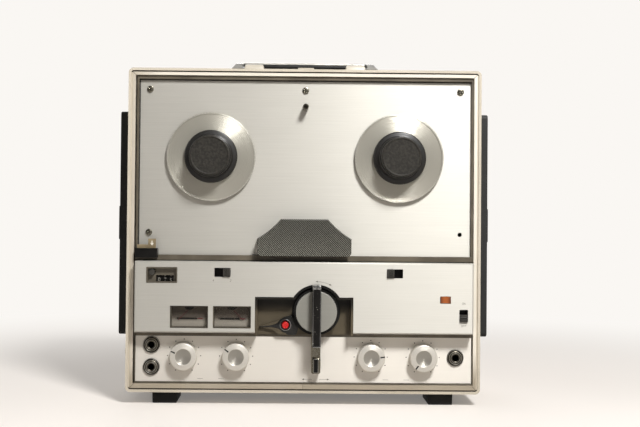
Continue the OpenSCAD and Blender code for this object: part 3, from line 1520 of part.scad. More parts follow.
// Block in front of the bezel, with a slot that guides the slider's plate
module pause_guide() {
  slot_w = guide_block_w - 2 * block_wall;
  slot_mid = block_front + guide_block_d / 2;
  color(black) on_front() difference() {
    union() {
      translate([block_x, block_front, block_foot]) cube([guide_block_w, guide_block_d, guide_block_h]);
      translate([-deck_w / 2 + drop_fit, block_front + over, deck_foot + drop_fit])
        cube([block_x + guide_block_w + deck_w / 2 - drop_fit, deck_y - block_front - over,
          block_top - deck_foot - drop_fit]);
    }
    translate([block_x + block_wall, slot_mid - pause_t / 2 - face_gap, block_foot + block_wall])
      cube([slot_w, pause_t + 2 * face_gap, guide_block_h]);
  }
}
module pause_slider() {
  plate_x = block_x + block_wall + face_gap;
  plate_w = guide_block_w - 2 * block_wall - 2 * face_gap;
  plate_foot = block_foot + block_wall + face_gap;
  color("#a8936a") on_front() standing(block_front + guide_block_d / 2 - pause_t / 2, pause_t) {
    translate([plate_x, plate_foot]) square([plate_w, block_top + pause_strip_h - plate_foot]);
    translate([plate_x + plate_w - pause_tab_w, plate_foot])
      square([pause_tab_w, block_top + pause_tab_h - plate_foot]);
  }
}

case_shell();
front_trim();
rear_cover();
feet();
handle_brackets();
handle_arms();
handle_grip();
lid_catches();
left_grille();
right_grille();
speakers();
deck_bezel();
deck_plate();
deck_screws();
sleeve_post();
left_reel_table();
right_reel_table();
left_reel_cap();
right_reel_cap();
head_cover();
head_assembly();
pinch_arm();
pinch_roller();
capstan_flywheel();
motor();
motor_pulley();
belts();
chassis();
bearing_bushes();
amplifier_unit();
mains_inlet();
control_panel();
counter_frame();
units_wheel();
tens_wheel();
hundreds_wheel();
reset_button();
switch_bodies();
track_slider();
speed_slider();
power_slider();
pilot_lens();
meter_cases();
meter_windows();
left_needle();
right_needle();
selector_well();
selector_dial();
selector_bar();
wind_lever();
record_button();
lower_panel();
volume_left_knob();
volume_right_knob();
tone_left_knob();
tone_right_knob();
potentiometers();
jack_sockets();
pause_guide();
pause_slider();
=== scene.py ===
"""Looks of a portable reel-to-reel tape recorder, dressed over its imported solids.

Sizes in this file are millimetres and become metres when a mesh or a finish is made. Depths are measured
from the front lip of the case, positive into the case. X runs to the right and Z up, as in the solids.
"""

import json
import math

import bmesh
import bpy
import numpy as np
from mathutils import Euler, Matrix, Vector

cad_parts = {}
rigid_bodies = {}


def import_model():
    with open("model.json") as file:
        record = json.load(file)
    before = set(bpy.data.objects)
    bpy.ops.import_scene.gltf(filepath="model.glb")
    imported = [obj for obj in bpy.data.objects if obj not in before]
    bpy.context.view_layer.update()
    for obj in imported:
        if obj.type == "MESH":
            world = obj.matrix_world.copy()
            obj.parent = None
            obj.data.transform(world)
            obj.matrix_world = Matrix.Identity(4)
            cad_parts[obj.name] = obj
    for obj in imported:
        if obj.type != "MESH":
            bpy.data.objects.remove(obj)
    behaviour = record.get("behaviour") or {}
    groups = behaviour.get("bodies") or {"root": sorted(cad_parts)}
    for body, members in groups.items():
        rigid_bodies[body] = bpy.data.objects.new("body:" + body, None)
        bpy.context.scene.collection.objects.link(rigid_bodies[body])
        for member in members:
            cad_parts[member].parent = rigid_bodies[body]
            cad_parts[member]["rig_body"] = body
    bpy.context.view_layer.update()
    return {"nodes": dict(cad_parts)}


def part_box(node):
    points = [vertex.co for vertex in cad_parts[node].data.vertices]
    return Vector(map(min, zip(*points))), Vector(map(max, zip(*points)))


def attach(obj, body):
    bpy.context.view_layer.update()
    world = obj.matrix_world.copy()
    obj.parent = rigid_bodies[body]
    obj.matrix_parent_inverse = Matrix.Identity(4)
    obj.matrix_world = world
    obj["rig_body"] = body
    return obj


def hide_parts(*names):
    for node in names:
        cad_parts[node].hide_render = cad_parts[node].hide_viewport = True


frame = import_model()

MM = 0.001


def span(node):
    """Lowest and highest corner of a solid."""
    low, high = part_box(node)
    return np.array(low) / MM, np.array(high) / MM


def middle(node):
    """Middle of a solid's box."""
    low, high = span(node)
    return (low + high) / 2


def depths(node):
    """Depths of a solid's front and back."""
    low, high = span(node)
    return low[1] - LIP, high[1] - LIP


CASE_LOW, CASE_HIGH = span("case_shell")
LIP = CASE_LOW[1]
DECK_LOW, DECK_HIGH = span("deck_plate")
DECK_FACE, _ = depths("deck_plate")
FRONT_X = middle("deck_plate")[0]
DIAL_MID = middle("selector_dial")
HANDLE_TILT = math.radians(9)
HANDLE_PIVOT = np.array([LIP + 56, CASE_HIGH[2] + 6.5])
BODY_OF = {name: solid["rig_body"] for name, solid in frame["nodes"].items()}


# Colours and finishes


def tone(red, green, blue):
    """A colour given in display values from 0 to 255, as the linear colour that shaders use."""
    shown = np.array([red, green, blue]) / 255
    linear = np.where(shown <= 0.04045, shown / 12.92, ((shown + 0.055) / 1.055) ** 2.4)
    return (*linear.tolist(), 1.0)


def operation(kind, flipped=False):
    """A method that puts a value and another through a Math node, in that order or flipped."""
    def method(self, other=0.0):
        first, second = (other, self) if flipped else (self, other)
        return self.finish.out("ShaderNodeMath", {"operation": kind}, {0: first, 1: second})
    return method


class Value:
    """A socket of a finish. Arithmetic on it adds Math nodes."""

    __add__ = operation("ADD")
    __radd__ = operation("ADD", flipped=True)
    __sub__ = operation("SUBTRACT")
    __rsub__ = operation("SUBTRACT", flipped=True)
    __mul__ = operation("MULTIPLY")
    __truediv__ = operation("DIVIDE")
    __abs__ = operation("ABSOLUTE")
    sine = operation("SINE")
    root = operation("SQRT")
    greater = operation("MAXIMUM")

    def __init__(self, finish, socket):
        self.finish = finish
        self.socket = socket


class Nodes:
    """A node tree that is filled by calls."""

    def __init__(self, tree):
        self.tree = tree
        self.tree.nodes.clear()

    def node(self, kind, settings=None, sockets=None):
        """A node of that type. Its settings are set first, then its sockets get values or links."""
        made = self.tree.nodes.new(kind)
        for key, value in (settings or {}).items():
            setattr(made, key, value)
        for key, value in (sockets or {}).items():
            self.join(made.inputs[key], value)
        return made

    def join(self, socket, value):
        """Link a value to a socket, or set the socket to a plain number or colour."""
        if isinstance(value, Value):
            self.tree.links.new(value.socket, socket)
        else:
            socket.default_value = value

    def out(self, kind, settings=None, sockets=None, output=0):
        """One output of a new node, as a value."""
        return Value(self, self.node(kind, settings, sockets).outputs[output])

    def axes(self, vector):
        """The three coordinates of a vector."""
        node = self.node("ShaderNodeSeparateXYZ", {}, {0: vector})
        return [Value(self, output) for output in node.outputs]

    def vector(self, operation, sockets):
        """A vector worked out from others."""
        return self.out("ShaderNodeVectorMath", {"operation": operation}, sockets)

    def between(self, value, low, high):
        """Smooth step from 0 at `low` to 1 at `high`."""
        return self.out("ShaderNodeMapRange", {"interpolation_type": "SMOOTHSTEP"}, {
            "Value": value, "From Min": low, "From Max": high})

    def blend(self, factor, first, second):
        """A colour between two colours, each a value or three display values."""
        first, second = (colour if isinstance(colour, Value) else tone(*colour) for colour in (first, second))
        return self.out("ShaderNodeMix", {"data_type": "RGBA"}, {0: factor, 6: first, 7: second}, 2)


LATHE_WAVE = 44.0


class Finish(Nodes):
    """A material with one Principled shader and the nodes that feed it."""

    def __init__(self, name, **fixed):
        self.material = bpy.data.materials.new(name)
        self.material.use_nodes = True
        super().__init__(self.material.node_tree)
        self.shader = self.node("ShaderNodeBsdfPrincipled")
        self.surface = Value(self, self.shader.outputs[0])
        self.output = self.node("ShaderNodeOutputMaterial", {}, {"Surface": self.surface})
        self.spot = self.out("ShaderNodeTexCoord", output="Object")
        self.feed(**fixed)

    def feed(self, **sockets):
        """Give the shader's own sockets their values or links."""
        for key, value in sockets.items():
            self.join(self.shader.inputs[key.replace("_", " ")], value)

    def paint(self, factor, first, second):
        """Colour the finish between two colours. Returns its material."""
        self.feed(Base_Color=self.blend(factor, first, second))
        return self.material

    def place(self):
        """The three coordinates of a point, in millimetres."""
        return self.axes(self.vector("SCALE", {0: self.spot, "Scale": 1 / MM}))

    def polar(self, centre):
        """Offsets along X and Z from an axis along Y through the centre, and the distance from it."""
        x, _, z = self.place()
        x, z = x - centre[0], z - centre[2]
        return x, z, (x * x + z * z).root().greater(0.01)

    def noise(self, scale, detail=3.0, stretch=(1, 1, 1), turn=(0, 0, 0)):
        """Cloudy noise from 0 to 1 with about `scale` patches to a metre, on turned and stretched places."""
        place = self.out("ShaderNodeMapping", {}, {"Vector": self.spot, "Rotation": turn, "Scale": stretch})
        return self.out("ShaderNodeTexNoise", {}, {"Vector": place, "Scale": scale, "Detail": detail})

    def lean(self, direction, amount):
        """Normal leaned by `amount` along a direction given in the piece's own axes."""
        ray = self.out("ShaderNodeVectorTransform", {
            "vector_type": "VECTOR", "convert_from": "OBJECT", "convert_to": "WORLD"}, {0: direction})
        tilt = self.vector("SCALE", {0: ray, "Scale": amount})
        normal = self.out("ShaderNodeNewGeometry", output="Normal")
        return self.vector("NORMALIZE", {0: self.vector("ADD", {0: normal, 1: tilt})})

    def lathe(self, polar, jitter, sway):
        """Normal leaned to and fro along the radius by a fine wave, which `jitter` shifts."""
        x, z, radius = polar
        ray = self.out("ShaderNodeCombineXYZ", {}, {0: x / radius, 2: z / radius})
        return self.lean(ray, (radius * LATHE_WAVE + jitter).sine() * sway)

    def bump(self, height, rise):
        """Normal of a surface raised by `rise` where the height is 1."""
        return self.out("ShaderNodeBump", {}, {"Height": height, "Distance": rise * MM})

    def grain(self, scale, rough, spread, rise, detail=3.0):
        """Fine noise that spreads the gloss about `rough` and raises the surface. Returns the noise."""
        fine = self.noise(scale, detail)
        self.feed(Roughness=rough + (fine - 0.5) * spread, Normal=self.bump(fine, rise))
        return fine


def mottled(name, dark, light, patch, rough, grain, rise, **fixed):
    """Colour drifts between two tones in soft patches; a fine grain varies the gloss and the surface."""
    finish = Finish(name, **fixed)
    finish.grain(grain, rough, 0.25, rise)
    return finish.paint(finish.between(finish.noise(patch, 5.0), 0.3, 0.7), dark, light)


def printed(name, dark, light, rough=0.55):
    """Thin film of printing ink."""
    return mottled(name, dark, light, 300.0, rough, 1500.0, 0.005)


def pebbled(name, dark, light, pebble, rise):
    """Moulded or coated skin: rounded pebbles parted by fine valleys, which are painted darker; soft patches
    of soil darken it here and there.
    """
    finish = Finish(name)
    cell = finish.out("ShaderNodeTexVoronoi", {}, {"Vector": finish.spot, "Scale": pebble}, "Distance")
    valley = finish.between(cell, 0.0, 0.7)
    soil = finish.between(finish.noise(14.0, 5.0), 0.35, 0.75)
    finish.feed(Roughness=0.5 + valley * 0.15, Normal=finish.bump(1 - valley, rise))
    return finish.paint(soil * 0.6 + valley * 0.4, light, dark)


def brushed(name, dark, light, rough, metal):
    """Sheet metal drawn along X: its gloss is spread more up and down than sideways, and streaks many
    times longer than wide lean the normal a little; soft clouds vary tone and gloss. A share of the
    surface is matt oxide."""
    finish = Finish(name, Metallic=metal, Anisotropic=0.74, Anisotropic_Rotation=0.25)
    streak = finish.noise(24000.0, 1.0, (0.001, 1, 1))
    broad = finish.noise(1500.0, 2.0, (0.012, 1, 1))
    cloud = finish.noise(9.0, 4.0)
    finish.feed(Roughness=rough + (cloud - 0.5) * 0.06,
                Normal=finish.lean((0.0, 0.0, 1.0), (streak - 0.5) * 0.2))
    return finish.paint(streak * 0.25 + broad * 0.45 + cloud * 0.3, dark, light)


def spun(name, centre, dark, light, rough, sway, metal):
    """Metal turned on a lathe: a fine wave along the radius leans the normal to and fro, which draws
    highlights out into rays from the centre. A share of the surface is matt oxide."""
    finish = Finish(name, Metallic=metal)
    polar = finish.polar(centre)
    along = finish.out("ShaderNodeCombineXYZ", {}, {0: polar[2]})
    groove = finish.out("ShaderNodeTexNoise", {}, {"Vector": along, "Scale": 9.0, "Detail": 1.0})
    finish.feed(Roughness=rough + (groove - 0.5) * 0.15, Normal=finish.lathe(polar, groove * 6.0, sway))
    return finish.paint(finish.noise(16.0, 4.0) * 0.5 + groove * 0.5, dark, light)


def hatched(name, dark, light, pitch, foot, top):
    """Moulded plastic with a raised hatch: lines falling to the right, `pitch` apart, crossed by fainter
    lines that rise to the right. The skin is paler near the foot, where hands rub it."""
    finish = Finish(name, Specular_IOR_Level=0.25)
    x, _, z = finish.place()
    turn = math.pi / pitch / math.sqrt(2)
    falling = finish.between(abs(((x + z) * turn).sine()), 0.45, 0.95)
    rising = abs(((x - z) * turn).sine())
    height = falling * (rising * 0.2 + 0.8)
    wear = finish.noise(30.0, 4.0) * 0.3 + 0.7 - finish.between(z, foot, top) * 0.3
    finish.feed(Roughness=0.52 - height * 0.14, Normal=finish.bump(height, 0.4))
    return finish.paint(height * wear, dark, light)


def worn_rubber(name, dark, light, front):
    """Old rubber: soft grey bloom, strongest on what faces forward, blotched by handling."""
    finish = Finish(name, Specular_IOR_Level=0.25, Coat_Roughness=0.24)
    near = 1 - finish.between(finish.place()[1], front, front + 4)
    blotch = finish.between(finish.noise(420.0, 6.0), 0.35, 0.7)
    fine = finish.noise(1400.0, 2.0)
    bloom = near * (blotch * 0.5 + 0.2) + finish.noise(60.0, 4.0) * 0.2
    finish.feed(Coat_Weight=0.7 - near * 0.7,
                Roughness=0.45 + bloom * 0.3 + (fine - 0.5) * 0.1,
                Normal=finish.bump(fine * 0.4 + blotch * 0.6, 0.12))
    return finish.paint(bloom, dark, light)


def inked(name, centre, dark, light, ink):
    """Turned metal with a painted notch: the paint follows the number kept at each point."""
    finish = Finish(name)
    mask = finish.out("ShaderNodeAttribute", {"attribute_name": "ink"}, output="Fac")
    fine = finish.noise(900.0, 3.0)
    finish.feed(Metallic=0.5 - mask * 0.5,
                Roughness=0.36 + mask * 0.2 + (fine - 0.5) * 0.15,
                Normal=finish.lathe(finish.polar(centre), fine * 4.0, 0.22))
    return finish.paint(mask, finish.blend(fine, dark, light), ink)


def card_with_painted_shade(name, foot, top, low, high):
    """Printed card behind a meter window, with painted shade: the foot tone at `low` darkens to the top tone
    at `high`, as shade under the window's top edge; a little foxed.
    """
    finish = Finish(name)
    fox = finish.grain(260.0, 0.7, 0.2, 0.02, 5.0)
    return finish.paint(finish.between(finish.place()[2], low, high) + (fox - 0.5) * 0.12, foot, top)


def clear_pane(name, colour, cover):
    """Clear moulded acrylic with faint scratches; most of it lets the view through."""
    finish = Finish(name, Base_Color=tone(*colour), Alpha=cover, IOR=1.49)
    scratch = finish.noise(700.0, 2.0, (1, 1, 0.08), (0, 0.6, 0))
    finish.feed(Roughness=0.04 + finish.between(scratch, 0.55, 0.8) * 0.2,
                Normal=finish.bump(scratch, 0.004))
    return finish.material


def lens_with_painted_light(name, dark, light, mid, half):
    """Moulded lens with painted light: bright about `mid` as a painted glow, darker towards both ends as
    painted shade, under a thin clear coat.
    """
    finish = Finish(name, Coat_Weight=0.6, Coat_Roughness=0.1)
    fine = finish.grain(600.0, 0.3, 0.2, 0.02)
    off = abs(finish.place()[0] - mid) / half
    return finish.paint(finish.between(off, 0.1, 0.95) + (fine - 0.5) * 0.3, light, dark)


def well_with_painted_shade(name, dark, light, black, reach, ledge):
    """Well of the selector: olive low on the right of the floor and a little darker to the left; painted
    shade darkens it upwards and turns everything above the ledge black; the collar within `reach` of the
    dial's axis is black."""
    finish = Finish(name, Specular_IOR_Level=0.35)
    x, z, radius = finish.polar(DIAL_MID)
    near = 1 - finish.between(radius, reach, reach + 0.3)
    # Painted shade: black above the ledge, and darkening upwards under the panel's top edge.
    above = finish.between(z, ledge - 0.4, ledge)
    upper = finish.between(z, -5, 8) * 0.9
    left = 0.15 - finish.between(x, -40, 20) * 0.15
    drift = finish.noise(50.0, 5.0)
    finish.feed(Roughness=0.46 + (drift - 0.5) * 0.2, Normal=finish.bump(finish.noise(1300.0, 3.0), 0.03))
    shade = near.greater(above).greater(upper).greater(left)
    return finish.paint(shade, finish.blend(drift, dark, light), black)


def groove_painted_shade(name, dark, light, mid, reach):
    """Strip in the lid groove, with painted shade: dark where it lies further than `reach` over or under
    `mid`, pale between.
    """
    finish = Finish(name, Specular_IOR_Level=0.3)
    finish.grain(900.0, 0.6, 0.2, 0.03)
    return finish.paint(finish.between(abs(finish.place()[2] - mid), reach - 0.5, reach), light, dark)


def cream_with_painted_shade(name, dark, light, corner):
    """Cream, darker along the foot, and darker down the left side as painted shade."""
    finish = Finish(name)
    finish.grain(900.0, 0.36, 0.25, 0.02)
    x, _, z = finish.place()
    foot = 1 - finish.between(z, corner[2] + 6, corner[2] + 50)
    # Painted shade darkens the left side.
    left = 0.55 - finish.between(x, corner[0] + 4, corner[0] + 40) * 0.55
    return finish.paint(foot.greater(left) + (finish.noise(30.0, 5.0) - 0.5) * 0.4, light, dark)


def edged(name, upper, lower, height):
    """Plated arms of the handle: bright above `height` in the handle's own frame and black below it."""
    finish = Finish(name)
    _, y, z = finish.place()
    above = (z - HANDLE_PIVOT[1]) * math.cos(HANDLE_TILT) - (y - HANDLE_PIVOT[0]) * math.sin(HANDLE_TILT)
    bright = finish.between(above, height - 0.3, height)
    drift = finish.noise(260.0, 5.0)
    finish.feed(Metallic=bright * 0.6,
                Roughness=0.4 - bright * 0.16 + (drift - 0.5) * 0.2,
                Normal=finish.bump(drift, 0.02))
    return finish.paint(bright * (drift * 0.4 + 0.6), lower, upper)


def speckled(name, dark, light, speck, rough):
    """Handled black plastic: soft drift of tone, and small pale nicks where the noise peaks."""
    finish = Finish(name, Specular_IOR_Level=0.22)
    nick = finish.between(finish.noise(520.0, 1.0), 0.70, 0.74)
    drift = finish.noise(70.0, 4.0)
    finish.feed(Roughness=rough + (drift - 0.5) * 0.2 + nick * 0.2,
                Normal=finish.bump(finish.noise(1500.0, 3.0), 0.015))
    return finish.paint(nick, finish.blend(drift, dark, light), speck)


# Finishes of the case and its handle
CREAM = pebbled("case_leathercloth", (174, 165, 147), (203, 194, 178), 900.0, 0.12)
TRIM = mottled("cream_trim", (184, 176, 160), (206, 198, 184), 30.0, 0.36, 900.0, 0.02)
# The front trim: darker along its foot, and darker down its left side as painted shade.
TRIM_PAINTED_SHADE = cream_with_painted_shade("front_trim_cream", (158, 147, 129), (220, 213, 199), CASE_LOW)
TAUPE = mottled("bezel_paint", (78, 71, 59), (100, 92, 78), 40.0, 0.42, 1500.0, 0.03)
BOARD = mottled("pressed_board", (92, 70, 50), (112, 87, 62), 520.0, 0.75, 1200.0, 0.15)
GRILLE = pebbled("grille_black", (14, 14, 13), (29, 28, 26), 1100.0, 0.08)
ARM = edged("handle_plated", (206, 206, 204), (16, 15, 14), 1.6)

# Finishes of metal pieces
PLATE = brushed("deck_aluminium", (182, 179, 170), (212, 209, 201), 0.55, 0.58)
PANEL = brushed("panel_aluminium", (184, 181, 172), (209, 206, 198), 0.56, 0.52)
LOWER = brushed("lower_panel_aluminium", (214, 208, 198), (222, 217, 208), 0.55, 0.3)
DIAL = brushed("dial_brushed", (136, 134, 126), (152, 150, 142), 0.5, 0.7)
STEEL = mottled("plated_steel", (126, 126, 122), (160, 160, 155), 50.0, 0.38, 800.0, 0.02, Metallic=1.0)
NUT = mottled("aged_nickel", (84, 80, 70), (124, 118, 105), 240.0, 0.34, 800.0, 0.02, Metallic=1.0)
BRASS = mottled("brass", (150, 118, 62), (186, 152, 86), 60.0, 0.35, 700.0, 0.02, Metallic=1.0)
CHROME = mottled("bright_chrome", (196, 196, 194), (222, 222, 220), 90.0, 0.14, 500.0, 0.004, Metallic=1.0)
SATIN = mottled("satin_silver", (168, 165, 157), (198, 195, 188), 70.0, 0.34, 900.0, 0.01, Metallic=1.0)
BRIGHT = mottled("polished_rim", (214, 211, 204), (234, 231, 224), 90.0, 0.26, 500.0, 0.004, Metallic=0.5)
LEVER = mottled("lever_metal", (128, 123, 110), (154, 149, 135), 70.0, 0.24, 900.0, 0.006, Metallic=1.0)

# Finishes of rubber and plastic pieces
RUBBER = mottled("black_rubber", (17, 16, 15), (29, 28, 26), 60.0, 0.6, 1300.0, 0.05, Specular_IOR_Level=0.3)
BLACK = mottled("black_plastic", (13, 12, 11), (24, 23, 21), 70.0, 0.38, 1500.0, 0.02,
                Specular_IOR_Level=0.22)
GLOSS = mottled("glossy_black", (18, 17, 15), (30, 28, 25), 70.0, 0.3, 1500.0, 0.01, Coat_Weight=0.5)
SLIDER = mottled("slider_black", (44, 42, 38), (62, 60, 55), 90.0, 0.42, 1500.0, 0.02,
                 Specular_IOR_Level=0.35)
NICKED = speckled("selector_black", (15, 14, 13), (27, 25, 23), (170, 166, 156), 0.36)
COVER_LOW, COVER_HIGH = span("head_cover")
HATCH = hatched("cover_hatched", (12, 12, 11), (132, 130, 119), 1.55, COVER_LOW[2], COVER_HIGH[2])
COLLAR_R = 24.1
WELL_TOP = 108.6
# The well's olive is black above the ledge and darker upwards as painted shade.
WELL = well_with_painted_shade("olive_well_painted_shade", (72, 64, 50), (100, 90, 71), (17, 16, 14), COLLAR_R, WELL_TOP - DIAL_MID[2])
RED = mottled("record_red", (176, 24, 24), (204, 36, 34), 120.0, 0.26, 900.0, 0.01)
LENS_X = middle("pilot_lens")[0]
# The pilot lens is painted bright in its middle and darker at its ends, as painted light and shade.
LENS_PAINTED_LIGHT = lens_with_painted_light("amber_lens", (72, 28, 8), (158, 82, 28), LENS_X, span("pilot_lens")[1][0] - LENS_X)
TAN = mottled("pause_tan", (120, 106, 80), (146, 131, 102), 90.0, 0.4, 900.0, 0.02)
RECESS = mottled("counter_brown", (80, 74, 62), (104, 97, 83), 60.0, 0.5, 1200.0, 0.03)
PANE = clear_pane("meter_pane", (60, 56, 48), 0.1)

# Finishes of prints and pointers
NEEDLE = mottled("needle_red", (70, 30, 26), (88, 38, 33), 200.0, 0.5, 900.0, 0.01)
INK = printed("printed_black", (24, 22, 20), (38, 35, 32))
GREY_INK = printed("printed_grey", (98, 94, 86), (120, 116, 107))
RED_INK = printed("printed_red", (80, 26, 28), (100, 34, 36))
FIGURE = printed("counter_white", (150, 146, 136), (176, 171, 160), 0.5)
WHITE = printed("printed_white", (196, 191, 178), (220, 215, 203), 0.5)


def dress(finish, *nodes):
    """Give solids that stay as they are a finish."""
    for name in nodes:
        slots = frame["nodes"][name].data.materials
        slots.clear()
        slots.append(finish)


# Shapes: each is an array of points and a list of faces


def web(rows):
    """Numbers of the points in rows, and the four-sided faces that join each point to the next one of its
    row and to the next row. Rows close on themselves, and the last row joins the first."""
    index = np.arange(rows.shape[0] * rows.shape[1]).reshape(rows.shape[:2])
    ahead = np.roll(index, -1, 1)
    return index, np.stack([index, ahead, np.roll(ahead, -1, 0), np.roll(index, -1, 0)], -1)


def skin(rings):
    """Closed surface through rings of points, with one flat face over each end."""
    index, faces = web(rings)
    ends = [index[0, ::-1].tolist(), index[-1].tolist()]
    return rings.reshape(-1, 3), faces[:-1].reshape(-1, 4).tolist() + ends


def hoop(rows):
    """Closed surface through rows of points that follow a loop: each row is itself a closed section."""
    return rows.reshape(-1, 3), web(rows)[1].reshape(-1, 4).tolist()


def eased(corners, radius, steps=6):
    """A path with its inner corners rounded: a curve leaves each corner's two legs `radius` away from it
    and bends between them as a quadratic through the corner."""
    corners = np.asarray(corners, float)
    turn = corners[1:-1]

    def along(neighbour):
        leg = neighbour - turn
        length = np.linalg.norm(leg, axis=1, keepdims=True)
        return turn + leg * np.minimum(radius / length, 0.48)

    share = np.linspace(0, 1, steps)[None, :, None]
    start = along(corners[:-2])[:, None]
    stop = along(corners[2:])[:, None]
    curve = (1 - share) ** 2 * start + 2 * share * (1 - share) * turn[:, None] + share ** 2 * stop
    return np.concatenate([corners[:1], curve.reshape(-1, 2), corners[-1:]])


def about(radius, angle, depth, at):
    """Points round an axis along Y through `at`, whose first and last numbers are x and z."""
    return np.stack([at[0] + radius * np.cos(angle), LIP + depth + 0 * angle,
                     at[-1] + radius * np.sin(angle)], -1)


def circle(segments):
    """Angles of a full turn in equal steps."""
    return np.linspace(0, 2 * np.pi, segments, endpoint=False)


def turned(profile, at, segments=96):
    """A profile of radius and depth carried round an axis along Y."""
    return skin(about(profile[:, :1], circle(segments), profile[:, 1:], at))


def ring(section, at, segments=72):
    """A closed section of radius and depth carried round an axis along Y."""
    section = np.asarray(section, float)
    return hoop(about(section[:, 0], circle(segments)[:, None], section[:, 1], at))


def rectangle(width, height, radius, steps=6):
    """Outline of a rectangle with corners that are quarter circles, anticlockwise, about the origin."""
    turn = np.linspace(0, np.pi / 2, steps)[None] + np.arange(4)[:, None] * np.pi / 2
    arc = radius * np.stack([np.cos(turn), np.sin(turn)], -1)
    signs = np.array([[1, 1], [-1, 1], [-1, -1], [1, -1]])[:, None]
    return (arc + signs * [width / 2 - radius, height / 2 - radius]).reshape(-1, 2)


def facing(u, v, depth):
    """Place points of an outline on the front: u along X, v along Z."""
    return np.stack([u, LIP + depth + 0 * u, v], -1)


def rounding(steps=6):
    """Shares along a quarter-round edge: 1 less a sine, which falls, and 1 less a cosine, which rises."""
    turn = np.linspace(0, np.pi / 2, steps)
    return 1 - np.sin(turn), 1 - np.cos(turn)


def slab(outline, front, back, edge):
    """outline(inset) carried from the back plane to the front plane, with a fine quarter-round edge behind
    and one of the given size in front."""
    fine = 0.05
    fall, rise = rounding()
    inset = np.concatenate([fine * fall, edge * rise])
    depth = np.concatenate([back - fine * rise, front + edge * fall])
    return skin(np.stack([facing(*outline(i).T, d) for i, d in zip(inset, depth)]))


def block(x, z, width, height, radius, front, back, edge):
    """A rounded rectangular slab that faces the front, its middle at (x, z)."""
    def outline(inset):
        return rectangle(width - 2 * inset, height - 2 * inset, max(radius - inset, 0.02)) + [x, z]
    return slab(outline, front, back, edge)


def ribbon(path, width, front, back, place=facing):
    """A flat strip along a path: each point is moved half a width to both sides, along the mean of the
    normals of its two legs, at the front and at the back."""
    path = np.asarray(path, float)
    leg = np.diff(path, axis=0)
    leg /= np.linalg.norm(leg, axis=1, keepdims=True)
    normal = np.stack([-leg[:, 1], leg[:, 0]], 1)
    mean = np.concatenate([normal[:1], normal[:-1] + normal[1:], normal[-1:]])
    reach = np.einsum("ij,ij->i", mean, np.concatenate([normal[:1], normal[:-1], normal[-1:]]))
    side = mean / reach[:, None] * width / 2
    left, right = path + side, path - side
    rows = [place(*left.T, front), place(*right.T, front), place(*right.T, back), place(*left.T, back)]
    return skin(np.stack(rows, 1))


def film(depth):
    """Front and back of a print on a face that lies at a depth."""
    return depth - 0.06, depth + 0.05


def mark(corners, depth):
    """A printed form with the given corners, such as an arrowhead."""
    corners = np.asarray(corners, float)
    front, back = film(depth)
    return skin(np.stack([facing(*corners.T, back), facing(*corners.T, front)]))


def hang(name, mesh, finish, body, stands_for, sharp):
    """Shade a mesh, smooth except where faces meet at more than `sharp` degrees, and hang it on its body."""
    mesh.shade_smooth()
    mesh.set_sharp_from_angle(angle=math.radians(sharp))
    mesh.materials.append(finish)
    piece = bpy.data.objects.new(name, mesh)
    bpy.context.scene.collection.objects.link(piece)
    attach(piece, body)
    if stands_for:
        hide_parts(*stands_for)
    return piece


def make(name, shapes, finish, body="recorder", stands_for=(), sharp=38, ink=None):
    """One piece from a list of shapes, its faces turned outwards."""
    starts = np.cumsum([0] + [len(points) for points, _ in shapes])
    faces = [[corner + start for corner in face]
             for start, (_, shape_faces) in zip(starts, shapes) for face in shape_faces]
    points = np.concatenate([points for points, _ in shapes]) * MM
    mesh = bpy.data.meshes.new(name)
    mesh.from_pydata(points.tolist(), [], faces)
    if ink is not None:
        mesh.attributes.new("ink", "FLOAT", "POINT").data.foreach_set("value", ink.astype(np.float32))
    work = bmesh.new()
    work.from_mesh(mesh)
    bmesh.ops.recalc_face_normals(work, faces=work.faces)
    work.to_mesh(mesh)
    work.free()
    hang(name, mesh, finish, body, stands_for, sharp)


def softened(node, finish, width, segments=2, angle=35):
    """A solid with its edges rolled over: its surface is merged, cleared of the lines inside flat faces,
    and given a narrow bevel."""
    work = bmesh.new()
    work.from_mesh(frame["nodes"][node].data)
    bmesh.ops.remove_doubles(work, verts=work.verts, dist=1e-6)
    bmesh.ops.dissolve_limit(work, angle_limit=math.radians(0.6), verts=work.verts, edges=work.edges)
    mesh = bpy.data.meshes.new(node + "_soft")
    work.to_mesh(mesh)
    work.free()
    piece = hang(node + "_soft", mesh, finish, BODY_OF[node], (node,), angle)
    bevel = piece.modifiers.new("edge", "BEVEL")
    bevel.width = width * MM
    bevel.segments = segments
    bevel.limit_method = "ANGLE"
    bevel.angle_limit = math.radians(angle)
    bevel.harden_normals = True


# Solids that keep their shape
dress(BOARD, "rear_cover", "amplifier_unit")
dress(GRILLE, "left_grille", "right_grille")
dress(STEEL, "speakers", "chassis", "motor", "capstan_flywheel", "head_assembly", "pinch_arm")
dress(NUT, "sleeve_post")
dress(BRASS, "bearing_bushes", "motor_pulley", "potentiometers")
dress(RUBBER, "belts", "pinch_roller")
dress(BLACK, "mains_inlet", "switch_bodies", "units_wheel", "tens_wheel", "hundreds_wheel")
dress(PLATE, "deck_plate")
dress(LOWER, "lower_panel")
dress(TRIM, "lid_catches")
dress(WELL, "selector_well")
dress(PANE, "meter_windows")
dress(NEEDLE, "left_needle", "right_needle")

# Case with its lid groove
softened("case_shell", CREAM, 0.6)
softened("front_trim", TRIM_PAINTED_SHADE, 0.35)
softened("deck_bezel", TAUPE, 0.3)

GROOVE_OUTSIDE = 2.65
GROOVE_INSIDE = 3.95
GROOVE_CORNER = 2.3
SEAL_FRONT = 1.2
SEAL_BACK = 3.9
SEAL_DARK = 4.3
CASE_MID = middle("case_shell")
SEAL_REACH = CASE_HIGH[2] - CASE_MID[2] - SEAL_DARK


